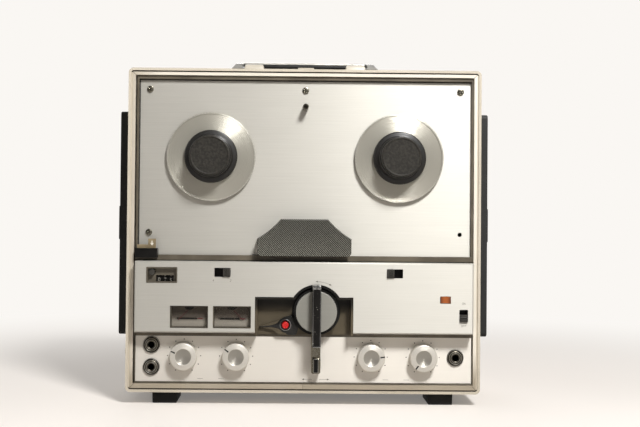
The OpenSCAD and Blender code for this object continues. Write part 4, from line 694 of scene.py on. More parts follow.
def seal_shape():
    """A strip that fills the lid groove to just under the lip: a large and a smaller rectangle joined
    at the front and at the back."""
    size = (CASE_HIGH - CASE_LOW)[[0, 2]]
    outer = rectangle(*(size - 2 * GROOVE_OUTSIDE), GROOVE_CORNER) + CASE_MID[[0, 2]]
    inner = rectangle(*(size - 2 * GROOVE_INSIDE), 0.05) + CASE_MID[[0, 2]]
    corners = ((outer, SEAL_FRONT), (inner, SEAL_FRONT), (inner, SEAL_BACK), (outer, SEAL_BACK))
    return hoop(np.stack([facing(*outline.T, depth) for outline, depth in corners], 1))


# The groove strip is pale, with painted shade along its top and bottom.
SEAL = groove_painted_shade("groove_fill_shade_finish", (44, 37, 29), (196, 186, 168), CASE_MID[2], SEAL_REACH)
make("groove_fill_painted_shade", [seal_shape()], SEAL)

# Painted shade in the mitres of the trim and in the seam of its foot
TRIM_LOW, TRIM_HIGH = span("front_trim")
TRIM_FACE, _ = depths("front_trim")
MITRE = 4.2
FOOT_SEAM = 4.6
SEAM_W = 0.4
SEAMS = [[[x, z], [x - MITRE * u, z - MITRE * v]] for x, u in ((TRIM_LOW[0], -1), (TRIM_HIGH[0], 1))
         for z, v in ((TRIM_LOW[2], -1), (TRIM_HIGH[2], 1))]
SEAMS.append([[0, TRIM_LOW[2]], [0, TRIM_LOW[2] + FOOT_SEAM]])
make("trim_seam_painted_shade", [ribbon(path, SEAM_W, TRIM_FACE - 0.03, TRIM_FACE + 0.1) for path in SEAMS], TAUPE)

# A black strip paints the shade in the gap between the bezel and the deck plate, along the top and the left
# side
DECK_LAP = 1.4
JOINT_W = 1.1
JOINT_X = DECK_LOW[0] + DECK_LAP + JOINT_W / 2
JOINT_Z = DECK_HIGH[2] - DECK_LAP - JOINT_W / 2
JOINT = [[JOINT_X, DECK_LOW[2] + DECK_LAP], [JOINT_X, JOINT_Z], [DECK_HIGH[0] - DECK_LAP, JOINT_Z]]
make("deck_gap_painted_shade", [ribbon(JOINT, JOINT_W, DECK_FACE - 0.08, DECK_FACE + 0.02)], INK)


# Feet and handle
def pile(x, y, widths, lengths, radii, heights):
    """Closed form through rounded rectangles that lie about (x, y), one at each height."""
    rings = []
    for width, length, radius, height in zip(widths, lengths, radii, heights):
        outline = rectangle(width, length, radius) + [x, y]
        rings.append(np.column_stack([outline, 0 * outline[:, 0] + height]))
    return skin(np.stack(rings))


def foot_shapes():
    """Four rubber feet: a rectangle that shrinks towards the floor, with its lower edge rounded."""
    low, high = span("feet")
    width, length, corner, taper, edge = 25.0, 46.0, 1.2, 0.4, 0.8
    fall, rise = rounding()
    inset = np.concatenate([[0], taper + edge * rise])
    height = np.concatenate([[high[2]], low[2] + edge * fall])
    return [pile(x, y, width - 2 * inset, length - 2 * inset, np.maximum(corner - inset, 0.3), height)
            for x in (low[0] + width / 2, high[0] - width / 2)
            for y in (low[1] + length / 2, high[1] - length / 2)]


def bracket_shapes():
    """Two handle brackets: a rectangle that shortens upwards, with its upper edge rounded."""
    low, high = span("handle_brackets")
    width, draft, edge, corner = 20.0, 3.0, 2.6, 1.2
    length, tall = (high - low)[1:]
    fall, rise = rounding(8)
    inset = np.concatenate([[0], edge * rise])
    height = np.concatenate([[0], tall - edge * fall])
    lengths = length - 2 * inset - 2 * draft * height / tall
    return [pile(x, (low[1] + high[1]) / 2, width - 2 * inset, lengths, corner + 0 * inset, low[2] + height)
            for x in (low[0] + width / 2, high[0] - width / 2)]


make("rubber_feet", foot_shapes(), RUBBER, stands_for=("feet",))
make("handle_bracket_pair", bracket_shapes(), TRIM, stands_for=("handle_brackets",))
softened("handle_arms", ARM, 0.8)

HAND_LOW, HAND_HIGH = span("handle_grip")
HAND_ALONG = 34.0
HAND_ABOVE = 0.9
STRIP_ABOVE = 4.7


def along_handle(section, above, ends, swell):
    """A section carried along X in the handle's own frame, which leans back from its pivot by the resting
    angle. At each end point the section is enlarged by that point's swell."""
    c, s = math.cos(HANDLE_TILT), math.sin(HANDLE_TILT)
    u = HAND_ALONG + section[:, 0] * swell[:, None]
    v = above + section[:, 1] * swell[:, None]
    x = ends[:, None] + 0 * u
    return skin(np.stack([x, HANDLE_PIVOT[0] + u * c - v * s, HANDLE_PIVOT[1] + u * s + v * c], -1))


# The grip thins by a hair towards both ends, and a metal strip is let into its top from arm to arm
HAND_ENDS = np.linspace(HAND_LOW[0], HAND_HIGH[0], 40)
HAND_SHARE = 2 * (HAND_ENDS - HAND_ENDS.mean()) / (HAND_ENDS[-1] - HAND_ENDS[0])
HAND_SWELL = 1 - 0.1 * np.abs(HAND_SHARE) ** 6
STRIP_ENDS = np.linspace(HAND_LOW[0] + 1, HAND_HIGH[0] - 1, 24)
make("handle_hand_grip", [along_handle(rectangle(15.0, 10.0, 4.4, 8), HAND_ABOVE, HAND_ENDS, HAND_SWELL)],
     BLACK, "handle", ("handle_grip",))
make("handle_strip", [along_handle(rectangle(12.5, 3.2, 1.4), STRIP_ABOVE, STRIP_ENDS, 1 + 0 * STRIP_ENDS)],
     SATIN, "handle")

# Reels
TABLE_FACE = DECK_FACE - 4.8
CAP_RIM = -22.5
CAP_FACE = -21.9
CAP_FOOT = 2.45
CAP_PROFILE = eased([
    [0.3, CAP_FACE], [17.6, CAP_FACE], [18.0, CAP_RIM], [19.0, CAP_RIM], [19.6, -21.6], [19.7, -12.6],
    [20.6, -12.4], [21.9, -3.4], [25.6, -2.7], [26.6, -1.4], [26.6, CAP_FOOT], [10.1, CAP_FOOT], [10.1, 0.5],
    [4.1, 0.5], [4.1, -16.2], [0.3, -16.2]], 0.7)


def edge_section(radius, face):
    """Rolled edge of a disc: a quarter circle from its face to its rim, closed behind, a hair proud."""
    roll, thick, proud = 0.8, 1.4, [0.02, -0.03]
    turn = np.linspace(0, np.pi / 2, 7)
    round_edge = np.stack([radius - roll + roll * np.sin(turn), face + roll * (1 - np.cos(turn))], 1)
    return np.concatenate([round_edge, [[radius, face + thick], [radius - roll, face + thick]]]) + proud


for reel in ("left", "right"):
    cap_node = reel + "_reel_cap"
    table_node = reel + "_reel_table"
    axis = middle(cap_node)
    table_low, table_high = span(table_node)
    bloomed = worn_rubber(reel + "_cap_rubber", (18, 16, 14), (58, 55, 49), LIP + CAP_RIM - 0.1)
    make(reel + "_cap_turned", [turned(CAP_PROFILE, axis, 128)], bloomed, reel + "_cap", (cap_node,))
    dress(spun(reel + "_table_spun", axis, (180, 176, 164), (202, 198, 185), 0.32, 0.34, 0.68), table_node)
    rolled = edge_section((table_high[0] - table_low[0]) / 2, TABLE_FACE)
    make(reel + "_table_edge", [ring(rolled, axis, 144)], BRIGHT, reel + "_reel")

# Head cover and deck screws
softened("head_cover", HATCH, 0.7, 3, 25)
SCREW_R = 3.4
SCREW_FACE = 0.92
SLOT_HALF = 0.55
SLOT_REACH = 2.3
SLOT_DEEP = 0.95
DOME = 1.8
DOME_FALL = 0.55


def screw_shape(x, z, turn):
    """Polar grid: the head is a dome, lowered where the point lies in one of two crossing slots."""
    flank = SCREW_FACE + (1 - SCREW_FACE) * np.sin(np.linspace(0.2, np.pi / 2, 5))
    share = np.concatenate([np.linspace(0.02, SCREW_FACE, 16), flank])[:, None]
    angle = circle(96)
    radius = SCREW_R * share
    u = np.abs(radius * np.cos(angle - turn))
    v = np.abs(radius * np.sin(angle - turn))
    within = np.clip((SLOT_HALF - np.minimum(u, v)) / 0.2, 0, 1)
    slot = within * np.clip((SLOT_REACH - np.maximum(u, v)) / 0.5, 0, 1)
    edge = np.clip((share - SCREW_FACE) / (1 - SCREW_FACE), 0, 1)
    height = (DOME - DOME_FALL * share ** 2) * (1 - edge ** 3) - SLOT_DEEP * slot
    return skin(about(radius, angle, DECK_FACE - height, (x, z)))


SCREW_LOW, SCREW_HIGH = span("deck_screws")
SCREW_LEFT = SCREW_LOW[0] + SCREW_R
SCREW_TOP = SCREW_HIGH[2] - SCREW_R
SCREWS = ((SCREW_LEFT, SCREW_TOP, 0.35), (FRONT_X, SCREW_TOP, 0.9), (SCREW_HIGH[0] - SCREW_R, SCREW_TOP, 0.1),
          (SCREW_LEFT, SCREW_LOW[2] + SCREW_R, 0.6))
make("cross_head_screws", [screw_shape(*place) for place in SCREWS], LEVER, stands_for=("deck_screws",),
     sharp=50)

# Control panel, switches and lens
softened("control_panel", PANEL, 0.35)
softened("counter_frame", RECESS, 0.25)
RIB_W = 0.55
RIB_FIELD = 7.2
RIB_MARGIN = 1.2


def slider_ribs(node, along, across):
    """Four fine ribs on the face of a switch knob, spread along one axis and lying across the other."""
    low, high = span(node)
    front, _ = depths(node)
    size = np.zeros(3)
    size[along] = RIB_W
    size[across] = min(high[across] - low[across], RIB_FIELD) - RIB_MARGIN
    shapes = []
    for offset in (-2.1, -0.7, 0.7, 2.1):
        place = middle(node)
        place[along] += offset
        shapes.append(block(place[0], place[2], size[0], size[2], 0.2, front - 0.3, front + 0.2, 0.2))
    return shapes


for slider_node, rib_axes in (("track_slider", (0, 2)), ("speed_slider", (0, 2)), ("power_slider", (2, 0))):
    softened(slider_node, SLIDER, 0.25)
    make(slider_node + "_ribs", slider_ribs(slider_node, *rib_axes), SLIDER, BODY_OF[slider_node])

softened("reset_button", SLIDER, 0.4)
softened("pilot_lens", LENS_PAINTED_LIGHT, 0.5)

# Meters
softened("meter_cases", TAUPE, 0.2)
METER_LOW, METER_HIGH = span("meter_windows")
METER_W = 37.0
METER_Z = middle("meter_windows")[2]
METER_XS = (METER_LOW[0] + METER_W / 2, METER_HIGH[0] - METER_W / 2)
CARD_W = 35.2
CARD_H = 19.7
CARD_FACE = -3.5
HUB_FRONT = -7.2
HUB_HALF = 4.8
HUB_DROP = 3.4
# The meter card darkens towards the top as painted shade.
CARD = card_with_painted_shade("meter_card", (168, 161, 148), (80, 71, 62), METER_Z - 6.5, METER_Z)


def card_mark(x, z, width, height, corner=0.1):
    """A printed bar on a meter card."""
    return block(x, METER_Z + z, width, height, corner, CARD_FACE - 0.22, CARD_FACE, 0.04)


def hub_cover(x):
    """Half-round cover over a needle's pivot, hung from the top of the meter window."""
    turn = np.linspace(np.pi, 2 * np.pi, 24)
    flat = np.stack([x + HUB_HALF * np.cos(turn), METER_HIGH[2] - 0.8 + HUB_DROP * np.sin(turn)], 1)
    heart = np.array([x, METER_HIGH[2] - 1.6])

    def outline(inset):
        return heart + (flat - heart) * (1 - inset / 4)
    return slab(outline, HUB_FRONT, CARD_FACE, 0.4)


make("meter_cards", [block(x, METER_Z, CARD_W, CARD_H, 0.4, CARD_FACE - 0.15, CARD_FACE + 0.1, 0.05)
                     for x in METER_XS], CARD)
make("meter_scale_bars", [bar for x in METER_XS for bar in (
    card_mark(x - 2.6, -2.2, 20.2, 2.0), card_mark(x - 13.6, -1.9, 0.4, 2.2))], BLACK)
make("meter_scale_ends", [card_mark(x + 10.6, -2.2, 5.4, 1.3) for x in METER_XS], RED_INK)
make("meter_scale_ticks", [card_mark(x - 12.4 + 3.7 * step, -0.5, 0.3, 1.0, 0.05)
                           for x in METER_XS for step in range(8)], INK)
make("meter_hub_covers", [hub_cover(x) for x in METER_XS], BLACK)

# Selector dial
softened("selector_dial", DIAL, 0.4)
DIAL_FACE, _ = depths("selector_dial")
RIM_IN = 19.5
RIM_OUT = 20.45
make("dial_rim", [ring([
    [RIM_IN, DIAL_FACE - 0.06], [RIM_OUT, DIAL_FACE + 0.85], [RIM_OUT, DIAL_FACE + 1.6],
    [RIM_IN, DIAL_FACE + 1.6]], DIAL_MID, 128)], BRIGHT, "selector", sharp=20)

# Wind lever
LEVER_LOW, LEVER_HIGH = span("wind_lever")
LEVER_X = middle("wind_lever")[0]
GRIP_FRONT, LEVER_BACK = depths("wind_lever")
GRIP_W = 9.4
GRIP_H = 16.0
GRIP_Z = LEVER_LOW[2] + GRIP_H / 2
LEVER_HOLE = 4.3
ARM_THICK = 4.0


def lever_shapes():
    """A hub, an arm whose rounded rectangle widens by a hair upwards, and a raised grip with broad edges."""
    front = LEVER_BACK - ARM_THICK
    hub_r = LEVER_HIGH[2] - DIAL_MID[2]
    low, high = LEVER_LOW[2] + 1.0, DIAL_MID[2] - 4.5
    height = high - low

    def arm(inset):
        u, v = rectangle(GRIP_W - 2 * inset, height - 2 * inset, 1.8 - inset).T
        return np.stack([u * (1 + 0.08 * v / height) + LEVER_X, v + (low + high) / 2], 1)
    hub = ring([[LEVER_HOLE, LEVER_BACK], [LEVER_HOLE, front], [hub_r, front], [hub_r, LEVER_BACK]],
               (LEVER_X, DIAL_MID[2]))
    grip = block(LEVER_X, GRIP_Z, GRIP_W, GRIP_H, 2.2, GRIP_FRONT, front + 1, 1.7)
    return [hub, slab(arm, front, LEVER_BACK, 1.3), grip]


def inset_block(width, height, radius, proud, edge):
    """A rounded block let into the lever's grip."""
    return block(LEVER_X, GRIP_Z, width, height, radius, GRIP_FRONT - proud, GRIP_FRONT + 0.6, edge)


make("wind_lever_body", lever_shapes(), LEVER, "winder", ("wind_lever",))
make("wind_lever_border", [inset_block(5.2, 14.3, 1.1, 0.03, 0.2)], SATIN, "winder")
make("wind_lever_inset", [inset_block(4.1, 13.2, 0.7, 0.1, 0.15)], BLACK, "winder")

# Selector bar
BAR_LOW, BAR_HIGH = span("selector_bar")
BAR_X, _, BAR_Z = middle("selector_bar")
BAR_W, _, BAR_H = BAR_HIGH - BAR_LOW
BAR_FRONT, BAR_BACK = depths("selector_bar")
BAR_LINE_X = BAR_W / 2 - 0.7
TIP_H = 4.4
TIP_W = 3.9
TIP_X = TIP_W / 2 + 0.1
make("selector_bar_body", [block(BAR_X, BAR_Z, BAR_W, BAR_H, 1.2, BAR_FRONT, BAR_BACK, 0.9)], NICKED,
     "selector", ("selector_bar",))
make("selector_bar_lines", [
    *[block(BAR_X + x, BAR_Z, 0.4, BAR_H - 2.4, 0.15, BAR_FRONT - 0.05, BAR_FRONT + 0.5, 0.1)
      for x in (-BAR_LINE_X, BAR_LINE_X)],
    block(BAR_X, BAR_LOW[2] + 0.6, BAR_W - 1.4, 0.7, 0.2, BAR_FRONT - 0.08, BAR_FRONT + 0.6, 0.15)],
     CHROME, "selector")
make("selector_bar_tip", [
    block(BAR_X + x, BAR_HIGH[2] - TIP_H / 2 + 0.1, TIP_W, TIP_H, 0.7, BAR_FRONT - 0.5, BAR_FRONT + 6, 0.9)
    for x in (-TIP_X, TIP_X)], CHROME, "selector")

# Record button, its chrome ring and its black rest
RECORD_MID = middle("record_button")
RECORD_FRONT, RECORD_BACK = depths("record_button")
RECORD_R = 3.4
FLANGE_R = 4.8
REST_HOLE = 4.3
BUTTON_PROFILE = eased([
    [0.2, RECORD_FRONT + 0.35], [2.2, RECORD_FRONT + 0.25], [2.8, RECORD_FRONT],
    [RECORD_R, RECORD_FRONT + 0.7], [RECORD_R, RECORD_BACK - 1], [FLANGE_R, RECORD_BACK - 1],
    [FLANGE_R, RECORD_BACK], [0.2, RECORD_BACK]], 0.3)
REST_OUTLINE = eased([
    [-26.0, -1.7], [-15.0, -0.6], [-9.0, 1.1], [-6.2, 4.6], [-1.5, 7.8], [2.5, 8.9], [7.0, 10.2],
    [13.4, -2.5], [11.0, -10.0], [2.5, -10.0], [-3.6, -6.6], [-7.0, -3.8], [-15.0, -2.2], [-26.0, -2.8]], 2.0)


def record_base_shape():
    """A black rest round the button: its outline is drawn out to the left into a thin tail and to the right
    towards the dial. Rays from the button's axis join each of its points to the round hole."""
    ray = REST_OUTLINE / np.linalg.norm(REST_OUTLINE, axis=1, keepdims=True)
    hole = REST_HOLE * ray
    section = [(hole, 1.6), (hole, -1.5), (REST_OUTLINE - 0.6 * ray, -1.5), (REST_OUTLINE - 0.2 * ray, -1.3),
               (REST_OUTLINE, -0.8), (REST_OUTLINE, 1.6)]
    rows = [facing(*(RECORD_MID[[0, 2]] + points).T, depth) for points, depth in section]
    return hoop(np.stack(rows, 1))


make("record_button_turned", [turned(BUTTON_PROFILE, RECORD_MID, 64)], RED, "record_key", ("record_button",))
make("record_chrome_ring", [ring([
    [5.0, -0.6], [5.0, -2.3], [5.2, -2.6], [5.6, -2.5], [5.8, -2.0], [5.8, -0.6]], RECORD_MID)], CHROME)
make("record_base", [record_base_shape()], GLOSS, sharp=60)

# Knobs: a turned form with a painted notch cut into its ring, round a dished centre
KNOBS = (("volume_left", 156), ("volume_right", 145), ("tone_left", 5), ("tone_right", 233))
KNOB_R = 13.5
KNOB_BACK = 3.0
SHAFT_R = 3.0
DISH = 2.2
DISH_R = 7.85
NOTCH_DEEP = 0.7
NOTCH_HALF = 0.78
FACE_IN = 8.8
FACE_OUT = 12.9
SCALE_R = 16.6
DOT_R = 0.55
LOW_FACE, _ = depths("lower_panel")


def knob_shape(node, pointer):
    """Polar grid: a profile of radius and depth, deepened where a point of the ring lies within half a
    notch's width of the pointer's line. Returns the shape and its paint mask."""
    front, back = depths(node)
    face = np.linspace([FACE_IN, front + 0.05], [FACE_OUT, front + 0.8], 9)
    profile = eased([
        [0.15, front + DISH + 0.2], [7.9, front + 0.25], [8.3, front], *face, [KNOB_R, front + 1.4],
        [KNOB_R, KNOB_BACK], [SHAFT_R, KNOB_BACK], [SHAFT_R, back], [0.15, back]], 0.35, 7)
    angle = circle(288)
    radius, depth = profile[:, :1], profile[:, 1:]
    near = np.clip((NOTCH_HALF - np.abs(radius * np.sin(angle))) / 0.16, 0, 1) * (np.cos(angle) > 0)
    mask = near * (depth < front + 2.2) * np.clip((radius - FACE_IN + 0.1) / 0.3, 0, 1)
    return skin(about(radius, angle + pointer, depth + NOTCH_DEEP * mask, middle(node))), mask.ravel()


def scale_dot(at, bearing):
    """A small round print beside a knob."""
    place = at[[0, 2]] + SCALE_R * np.array([math.cos(bearing), math.sin(bearing)])
    return turned(np.array([[DOT_R, LOW_FACE + 0.05], [DOT_R, LOW_FACE - 0.07]]), place, 12)


DOTS = []
for knob, bearing_shown in KNOBS:
    knob_node = knob + "_knob"
    axis = middle(knob_node)
    knob_front, _ = depths(knob_node)
    surface, notch = knob_shape(knob_node, math.radians(bearing_shown))
    rim = inked(knob + "_aluminium", axis, (212, 207, 197), (228, 223, 213), (26, 25, 23))
    make(knob_node + "_turned", [surface], rim, knob, (knob_node,), ink=notch)
    cone = spun(knob + "_spun", axis, (168, 163, 153), (196, 191, 181), 0.34, 0.24, 0.8)
    dish = np.array([[DISH_R, knob_front + DISH + 1], [DISH_R, knob_front + 0.2], [0.1, knob_front + DISH]])
    make(knob_node + "_centre", [turned(dish, axis)], cone, knob)
    DOTS += [scale_dot(axis, math.radians(240 - 30 * step)) for step in range(11)]
make("knob_scale_dots", DOTS, INK)

# Jacks
JACK_LOW, JACK_HIGH = span("jack_sockets")
_, JACK_BACK = depths("jack_sockets")
JACK_R = 8.4
BORE_R = 3.2
NUT_R = 6.9
BUSH_R = 5.4
JACKS = ((JACK_LOW[0] + JACK_R, JACK_HIGH[2] - JACK_R), (JACK_LOW[0] + JACK_R, JACK_LOW[2] + JACK_R),
         (JACK_HIGH[0] - JACK_R, middle("jack_sockets")[2]))
WASHER = eased([[6.0, LOW_FACE], [6.0, 2.6], [7.6, 2.4], [JACK_R, 2.9], [JACK_R, LOW_FACE]], 0.4)
BUSH = eased([
    [0.2, JACK_BACK - 1.5], [BORE_R, JACK_BACK - 1.5], [BORE_R, 1.5], [3.7, 1.05], [BUSH_R, 1.05],
    [NUT_R, 1.6], [NUT_R, LOW_FACE], [BUSH_R, LOW_FACE], [BUSH_R, JACK_BACK], [0.2, JACK_BACK]], 0.3)
make("jack_washers", [turned(WASHER, at, 72) for at in JACKS], BLACK)
make("jack_bushes", [turned(BUSH, at, 72) for at in JACKS], NUT, stands_for=("jack_sockets",))
make("jack_rings", [ring([[r - 0.3, d], [r, d - 0.3], [r + 0.3, d], [r, d + 0.4]], at)
                    for at in JACKS for r, d in ((4.6, 1.0), (6.2, 1.2), (7.9, 2.5))], SATIN)

# Pause control
softened("pause_guide", BLACK, 0.4)
softened("pause_slider", TAN, 0.3)
TAB_FACE, _ = depths("pause_slider")
TAB_HIGH = span("pause_slider")[1]
ARROW_X = TAB_HIGH[0] - 3.8
ARROW_Z = TAB_HIGH[2] - 4.4
make("pause_arrow", [mark([[ARROW_X + u, ARROW_Z + v] for u, v in (
    (0, -2.4), (2.0, 0.2), (0.6, 0.2), (0.6, 2.4), (-0.6, 2.4), (-0.6, 0.2), (-2.0, 0.2))],
    TAB_FACE)], WHITE, "pause")

# A dark strip paints the shade in the gap between the two panels
PANEL_LOW, PANEL_HIGH = span("control_panel")
PANEL_GAP_SHADE_Z = 69.8
make("panel_gap_painted_shade", [block(FRONT_X, PANEL_GAP_SHADE_Z, PANEL_HIGH[0] - PANEL_LOW[0] + 0.8, 4.0, 0.1,
                           LOW_FACE - 0.06, LOW_FACE + 0.02, 0.02)], TAUPE)

# Counter figures on the digit wheels, as strokes on a field 1 wide and 1.6 high
FIGURES = {
    0: [[0.5, 0], [0, 0], [0, 1.6], [1, 1.6], [1, 0], [0.5, 0]],
    1: [[0.2, 1.25], [0.55, 1.6], [0.55, 0]],
    2: [[0, 1.2], [0.05, 1.6], [1, 1.6], [1, 0.85], [0.02, 0.02], [1, 0]],
    3: [[0.02, 1.55], [0.98, 1.6], [0.4, 0.92], [1, 0.9], [1, 0], [0, 0.02]],
    4: [[0.72, 0], [0.72, 1.6], [0, 0.45], [1, 0.45]],
    5: [[0.92, 1.58], [0.1, 1.58], [0.05, 0.85], [1, 1.0], [1, 0], [0, 0.02]],
    6: [[0.85, 1.6], [0.05, 1.2], [0, 0], [1, 0], [1, 0.9], [0.05, 0.75]],
    7: [[0, 1.58], [1, 1.58], [0.4, 0]],
    8: [[0.5, 0.85], [0, 0.9], [0.05, 1.6], [0.95, 1.6], [1, 0.9], [0, 0.8], [0, 0], [1, 0], [1, 0.8],
        [0.5, 0.85]],
    9: [[0.15, 0], [0.95, 0.4], [1, 1.6], [0, 1.6], [0, 0.7], [0.95, 0.85]],
}
FIGURE_W = 1.8
FIGURE_DROP = 1.3
FIGURE_STEP = math.radians(36)


def wheel_figures(node, shown):
    """Ten figures round a wheel: strokes drawn on a flat strip that is wrapped round the wheel's rim,
    with the height turned into an angle about the axle."""
    mid = middle(node)
    radius = span(node)[1][2] - mid[2]
    shapes = []
    for figure, corners in FIGURES.items():
        def around(u, v, depth, start=(figure - shown) * FIGURE_STEP):
            angle = v / radius + start
            reach = radius - depth
            return np.stack([mid[0] + u, mid[1] - reach * np.cos(angle), mid[2] + reach * np.sin(angle)], -1)
        path = eased(corners, 0.34, 5) * FIGURE_W - [FIGURE_W / 2, FIGURE_W * 0.8 + FIGURE_DROP]
        shapes.append(ribbon(path, 0.38, -0.05, 0.05, around))
    return shapes


for wheel, digit in (("units", 4), ("tens", 7), ("hundreds", 0)):
    make(wheel + "_figures", wheel_figures(wheel + "_wheel", digit), FIGURE, wheel)

# Plain printed marks on the two panels
LETTERS = {"O": [FIGURES[0]], "N": [[[0, 0], [0, 1.6], [1, 0], [1, 1.6]]],
           "F": [[[0, 0], [0, 1.6], [0.95, 1.6]], [[0, 0.85], [0.8, 0.85]]],
           "2": [FIGURES[2]], "4": [FIGURES[4]]}
LETTER_W = 1.1
LETTER_STEP = 1.75
PANEL_FACE, _ = depths("control_panel")
POWER_MID = middle("power_slider")
TRACK_MID = middle("track_slider")
ARC_R = 30
WIND_Z = 25.4
WIND_REACH = 12.5
ARROW_R = 1.3


def line(path, depth, width=0.3):
    """A thin printed line."""
    return ribbon(path, width, *film(depth))


def lettering(word, x, z):
    """Strokes of a short word or number on the control panel, its middle at (x, z)."""
    start = np.array([x - (len(word) - 1) * LETTER_STEP / 2 - LETTER_W / 2, z - 0.8 * LETTER_W])
    return [line(np.asarray(stroke) * LETTER_W + start + [i * LETTER_STEP, 0], PANEL_FACE, 0.26)
            for i, letter in enumerate(word) for stroke in LETTERS[letter]]


def arrowhead(x, z, heading, depth):
    """A small printed triangle that points along the heading."""
    turn = np.radians(heading + np.array([0, 140, 220]))
    return mark(np.stack([x + ARROW_R * np.cos(turn), z + ARROW_R * np.sin(turn)], 1), depth)


def level_line(start, stop):
    """A printed line across the foot of the lower panel."""
    return line([[start, WIND_Z], [stop, WIND_Z]], LOW_FACE)


SWEEP = np.radians(np.linspace(90, 63, 12))
ARC = DIAL_MID[[0, 2]] + ARC_R * np.stack([np.cos(SWEEP), np.sin(SWEEP)], 1)
make("panel_marks", [
    line(ARC, PANEL_FACE), arrowhead(*ARC[0], 180, PANEL_FACE), arrowhead(*ARC[-1], -27, PANEL_FACE),
    *lettering("ON", POWER_MID[0], POWER_MID[2] + 14.5), *lettering("OFF", POWER_MID[0], POWER_MID[2] - 7.5),
    *lettering("4", TRACK_MID[0] - 13.0, TRACK_MID[2] - 8.0),
    *lettering("2", TRACK_MID[0] + 4.0, TRACK_MID[2] - 8.0)], GREY_INK)
make("lower_panel_marks", [shape for side in (-1, 1) for shape in (
    level_line(LEVER_X + side * 3.5, LEVER_X + side * WIND_REACH),
    arrowhead(LEVER_X + side * WIND_REACH, WIND_Z, 90 - 90 * side, LOW_FACE),
    level_line(side * 106 + FRONT_X, side * 100.5 + FRONT_X),
    level_line(side * 79.5 + FRONT_X, side * 85 + FRONT_X))], GREY_INK)


# Stage, light and camera: places in metres, and the photograph's frame, focal length and axis in pixels
BACKDROP = tone(250, 247, 243)
FLOOR_HALF = 4.0
FADE_START = 0.25
FADE_END = 1.0
EVEN_LIGHT = 0.17
ROOM_LEFT = 0.11
ROOM_RIGHT = 0.45
ROOM_BEHIND = 0.95
PHOTO_W = 640
PHOTO_H = 427
FOCAL_PIXELS = 1092.2
AXIS_PIXEL = (299.6, 193.7)
CAMERA_PLACE = (-0.0167, -1.1631, 0.1906)
CAMERA_PITCH = math.radians(1.074)
CAMERA_ROLL = math.radians(0.522)
CAMERA_YAW = math.radians(-0.619)


def lamp(name, azimuth, elevation, distance, size, power):
    """A round soft lamp that looks at the middle of the object."""
    light = bpy.data.lights.new(name, "AREA")
    light.shape = "DISK"
    light.size = size
    light.energy = power
    holder = bpy.data.objects.new(name, light)
    turn = Euler((math.radians(90 - elevation), 0, math.radians(azimuth)))
    holder.rotation_euler = turn
    holder.location = turn.to_matrix().col[2] * distance
    holder.location.z += CASE_HIGH[2] * MM / 2
    bpy.context.scene.collection.objects.link(holder)


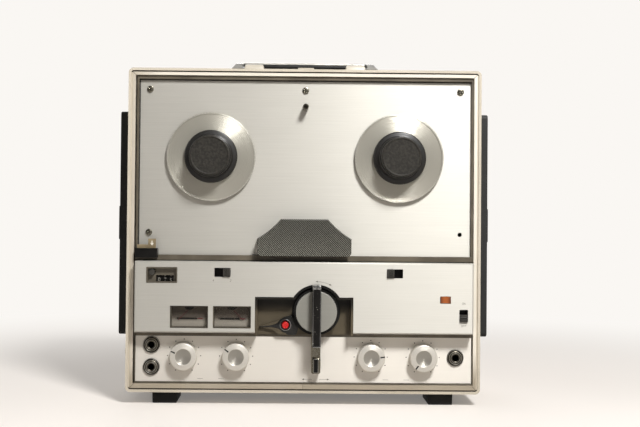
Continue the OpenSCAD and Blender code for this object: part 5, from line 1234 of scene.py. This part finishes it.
def floor():
    """A pale floor that keeps the object's shadow, fades into the backdrop and looks dim in bright metal."""
    corners = [(-FLOOR_HALF, -FLOOR_HALF, 0), (FLOOR_HALF, -FLOOR_HALF, 0), (FLOOR_HALF, FLOOR_HALF, 0),
               (-FLOOR_HALF, FLOOR_HALF, 0)]
    mesh = bpy.data.meshes.new("floor")
    mesh.from_pydata(corners, [], [(0, 1, 2, 3)])
    plane = bpy.data.objects.new("floor", mesh)
    bpy.context.scene.collection.objects.link(plane)
    finish = Finish("pale_floor", Specular_IOR_Level=0.1)
    cloud = finish.noise(3.0, 4.0)
    finish.feed(Roughness=0.7 + (cloud - 0.5) * 0.1)
    mesh.materials.append(finish.paint(cloud, (240, 232, 224), (246, 239, 232)))
    x, y, _ = finish.axes(finish.spot)
    far = finish.between((x * x + y * y).root(), FADE_START, FADE_END)
    glow = finish.out("ShaderNodeEmission", {}, {"Color": BACKDROP})
    dim = finish.out("ShaderNodeEmission", {}, {"Color": BACKDROP, "Strength": 0.2})
    seen = finish.out("ShaderNodeLightPath", output="Is Camera Ray")
    mirrored = finish.out("ShaderNodeLightPath", output="Is Glossy Ray")
    lit = finish.out("ShaderNodeMixShader", {}, {0: seen * (far * 0.8 + 0.2), 1: finish.surface, 2: glow})
    shown = finish.out("ShaderNodeMixShader", {}, {0: mirrored * 0.7, 1: lit, 2: dim})
    finish.join(finish.output.inputs["Surface"], shown)


def surround():
    """White where the camera or clear plastic looks straight at it; metal sees a dim room on its left that
    brightens to the right; everything else gets an even soft light."""
    world = bpy.data.worlds.new("surround")
    bpy.context.scene.world = world
    world.use_nodes = True
    nodes = Nodes(world.node_tree)
    x, y, _ = nodes.axes(nodes.out("ShaderNodeTexCoord", output="Generated"))
    seen, clear, glossy = (nodes.out("ShaderNodeLightPath", output=kind) for kind in (
        "Is Camera Ray", "Is Transmission Ray", "Is Glossy Ray"))
    side = nodes.between(x, -0.1, 0.5) * (ROOM_RIGHT - ROOM_LEFT) + ROOM_LEFT
    room = side + nodes.between(y, -0.1, 0.6) * (ROOM_BEHIND - side)
    even = EVEN_LIGHT + glossy * (room - EVEN_LIGHT)
    light = nodes.out("ShaderNodeBackground", {}, {
        "Color": BACKDROP, "Strength": even + seen.greater(clear) * (1 - even)})
    nodes.node("ShaderNodeOutputWorld", {}, {"Surface": light})


def camera():
    """A camera at the photograph's place, fitted to the corners of the case and the two reel caps."""
    view = bpy.data.cameras.new("camera")
    view.sensor_width = 36.0
    view.lens = FOCAL_PIXELS / PHOTO_W * view.sensor_width
    view.shift_x = (PHOTO_W / 2 - AXIS_PIXEL[0]) / PHOTO_W
    view.shift_y = -(PHOTO_H / 2 - AXIS_PIXEL[1]) / PHOTO_W
    holder = bpy.data.objects.new("camera", view)
    base = Euler((math.radians(90) + CAMERA_PITCH, 0, CAMERA_YAW)).to_matrix()
    holder.rotation_euler = (base @ Euler((0, 0, CAMERA_ROLL)).to_matrix()).to_euler()
    holder.location = CAMERA_PLACE
    bpy.context.scene.collection.objects.link(holder)
    bpy.context.scene.camera = holder


floor()
surround()
lamp("key", 21, 42, 1.45, 0.32, 24)
lamp("fill", -80, 25, 2.4, 1.6, 8)
lamp("rear", 190, 40, 2.2, 1.2, 12)
camera()
bpy.context.scene.view_settings.view_transform = "Standard"
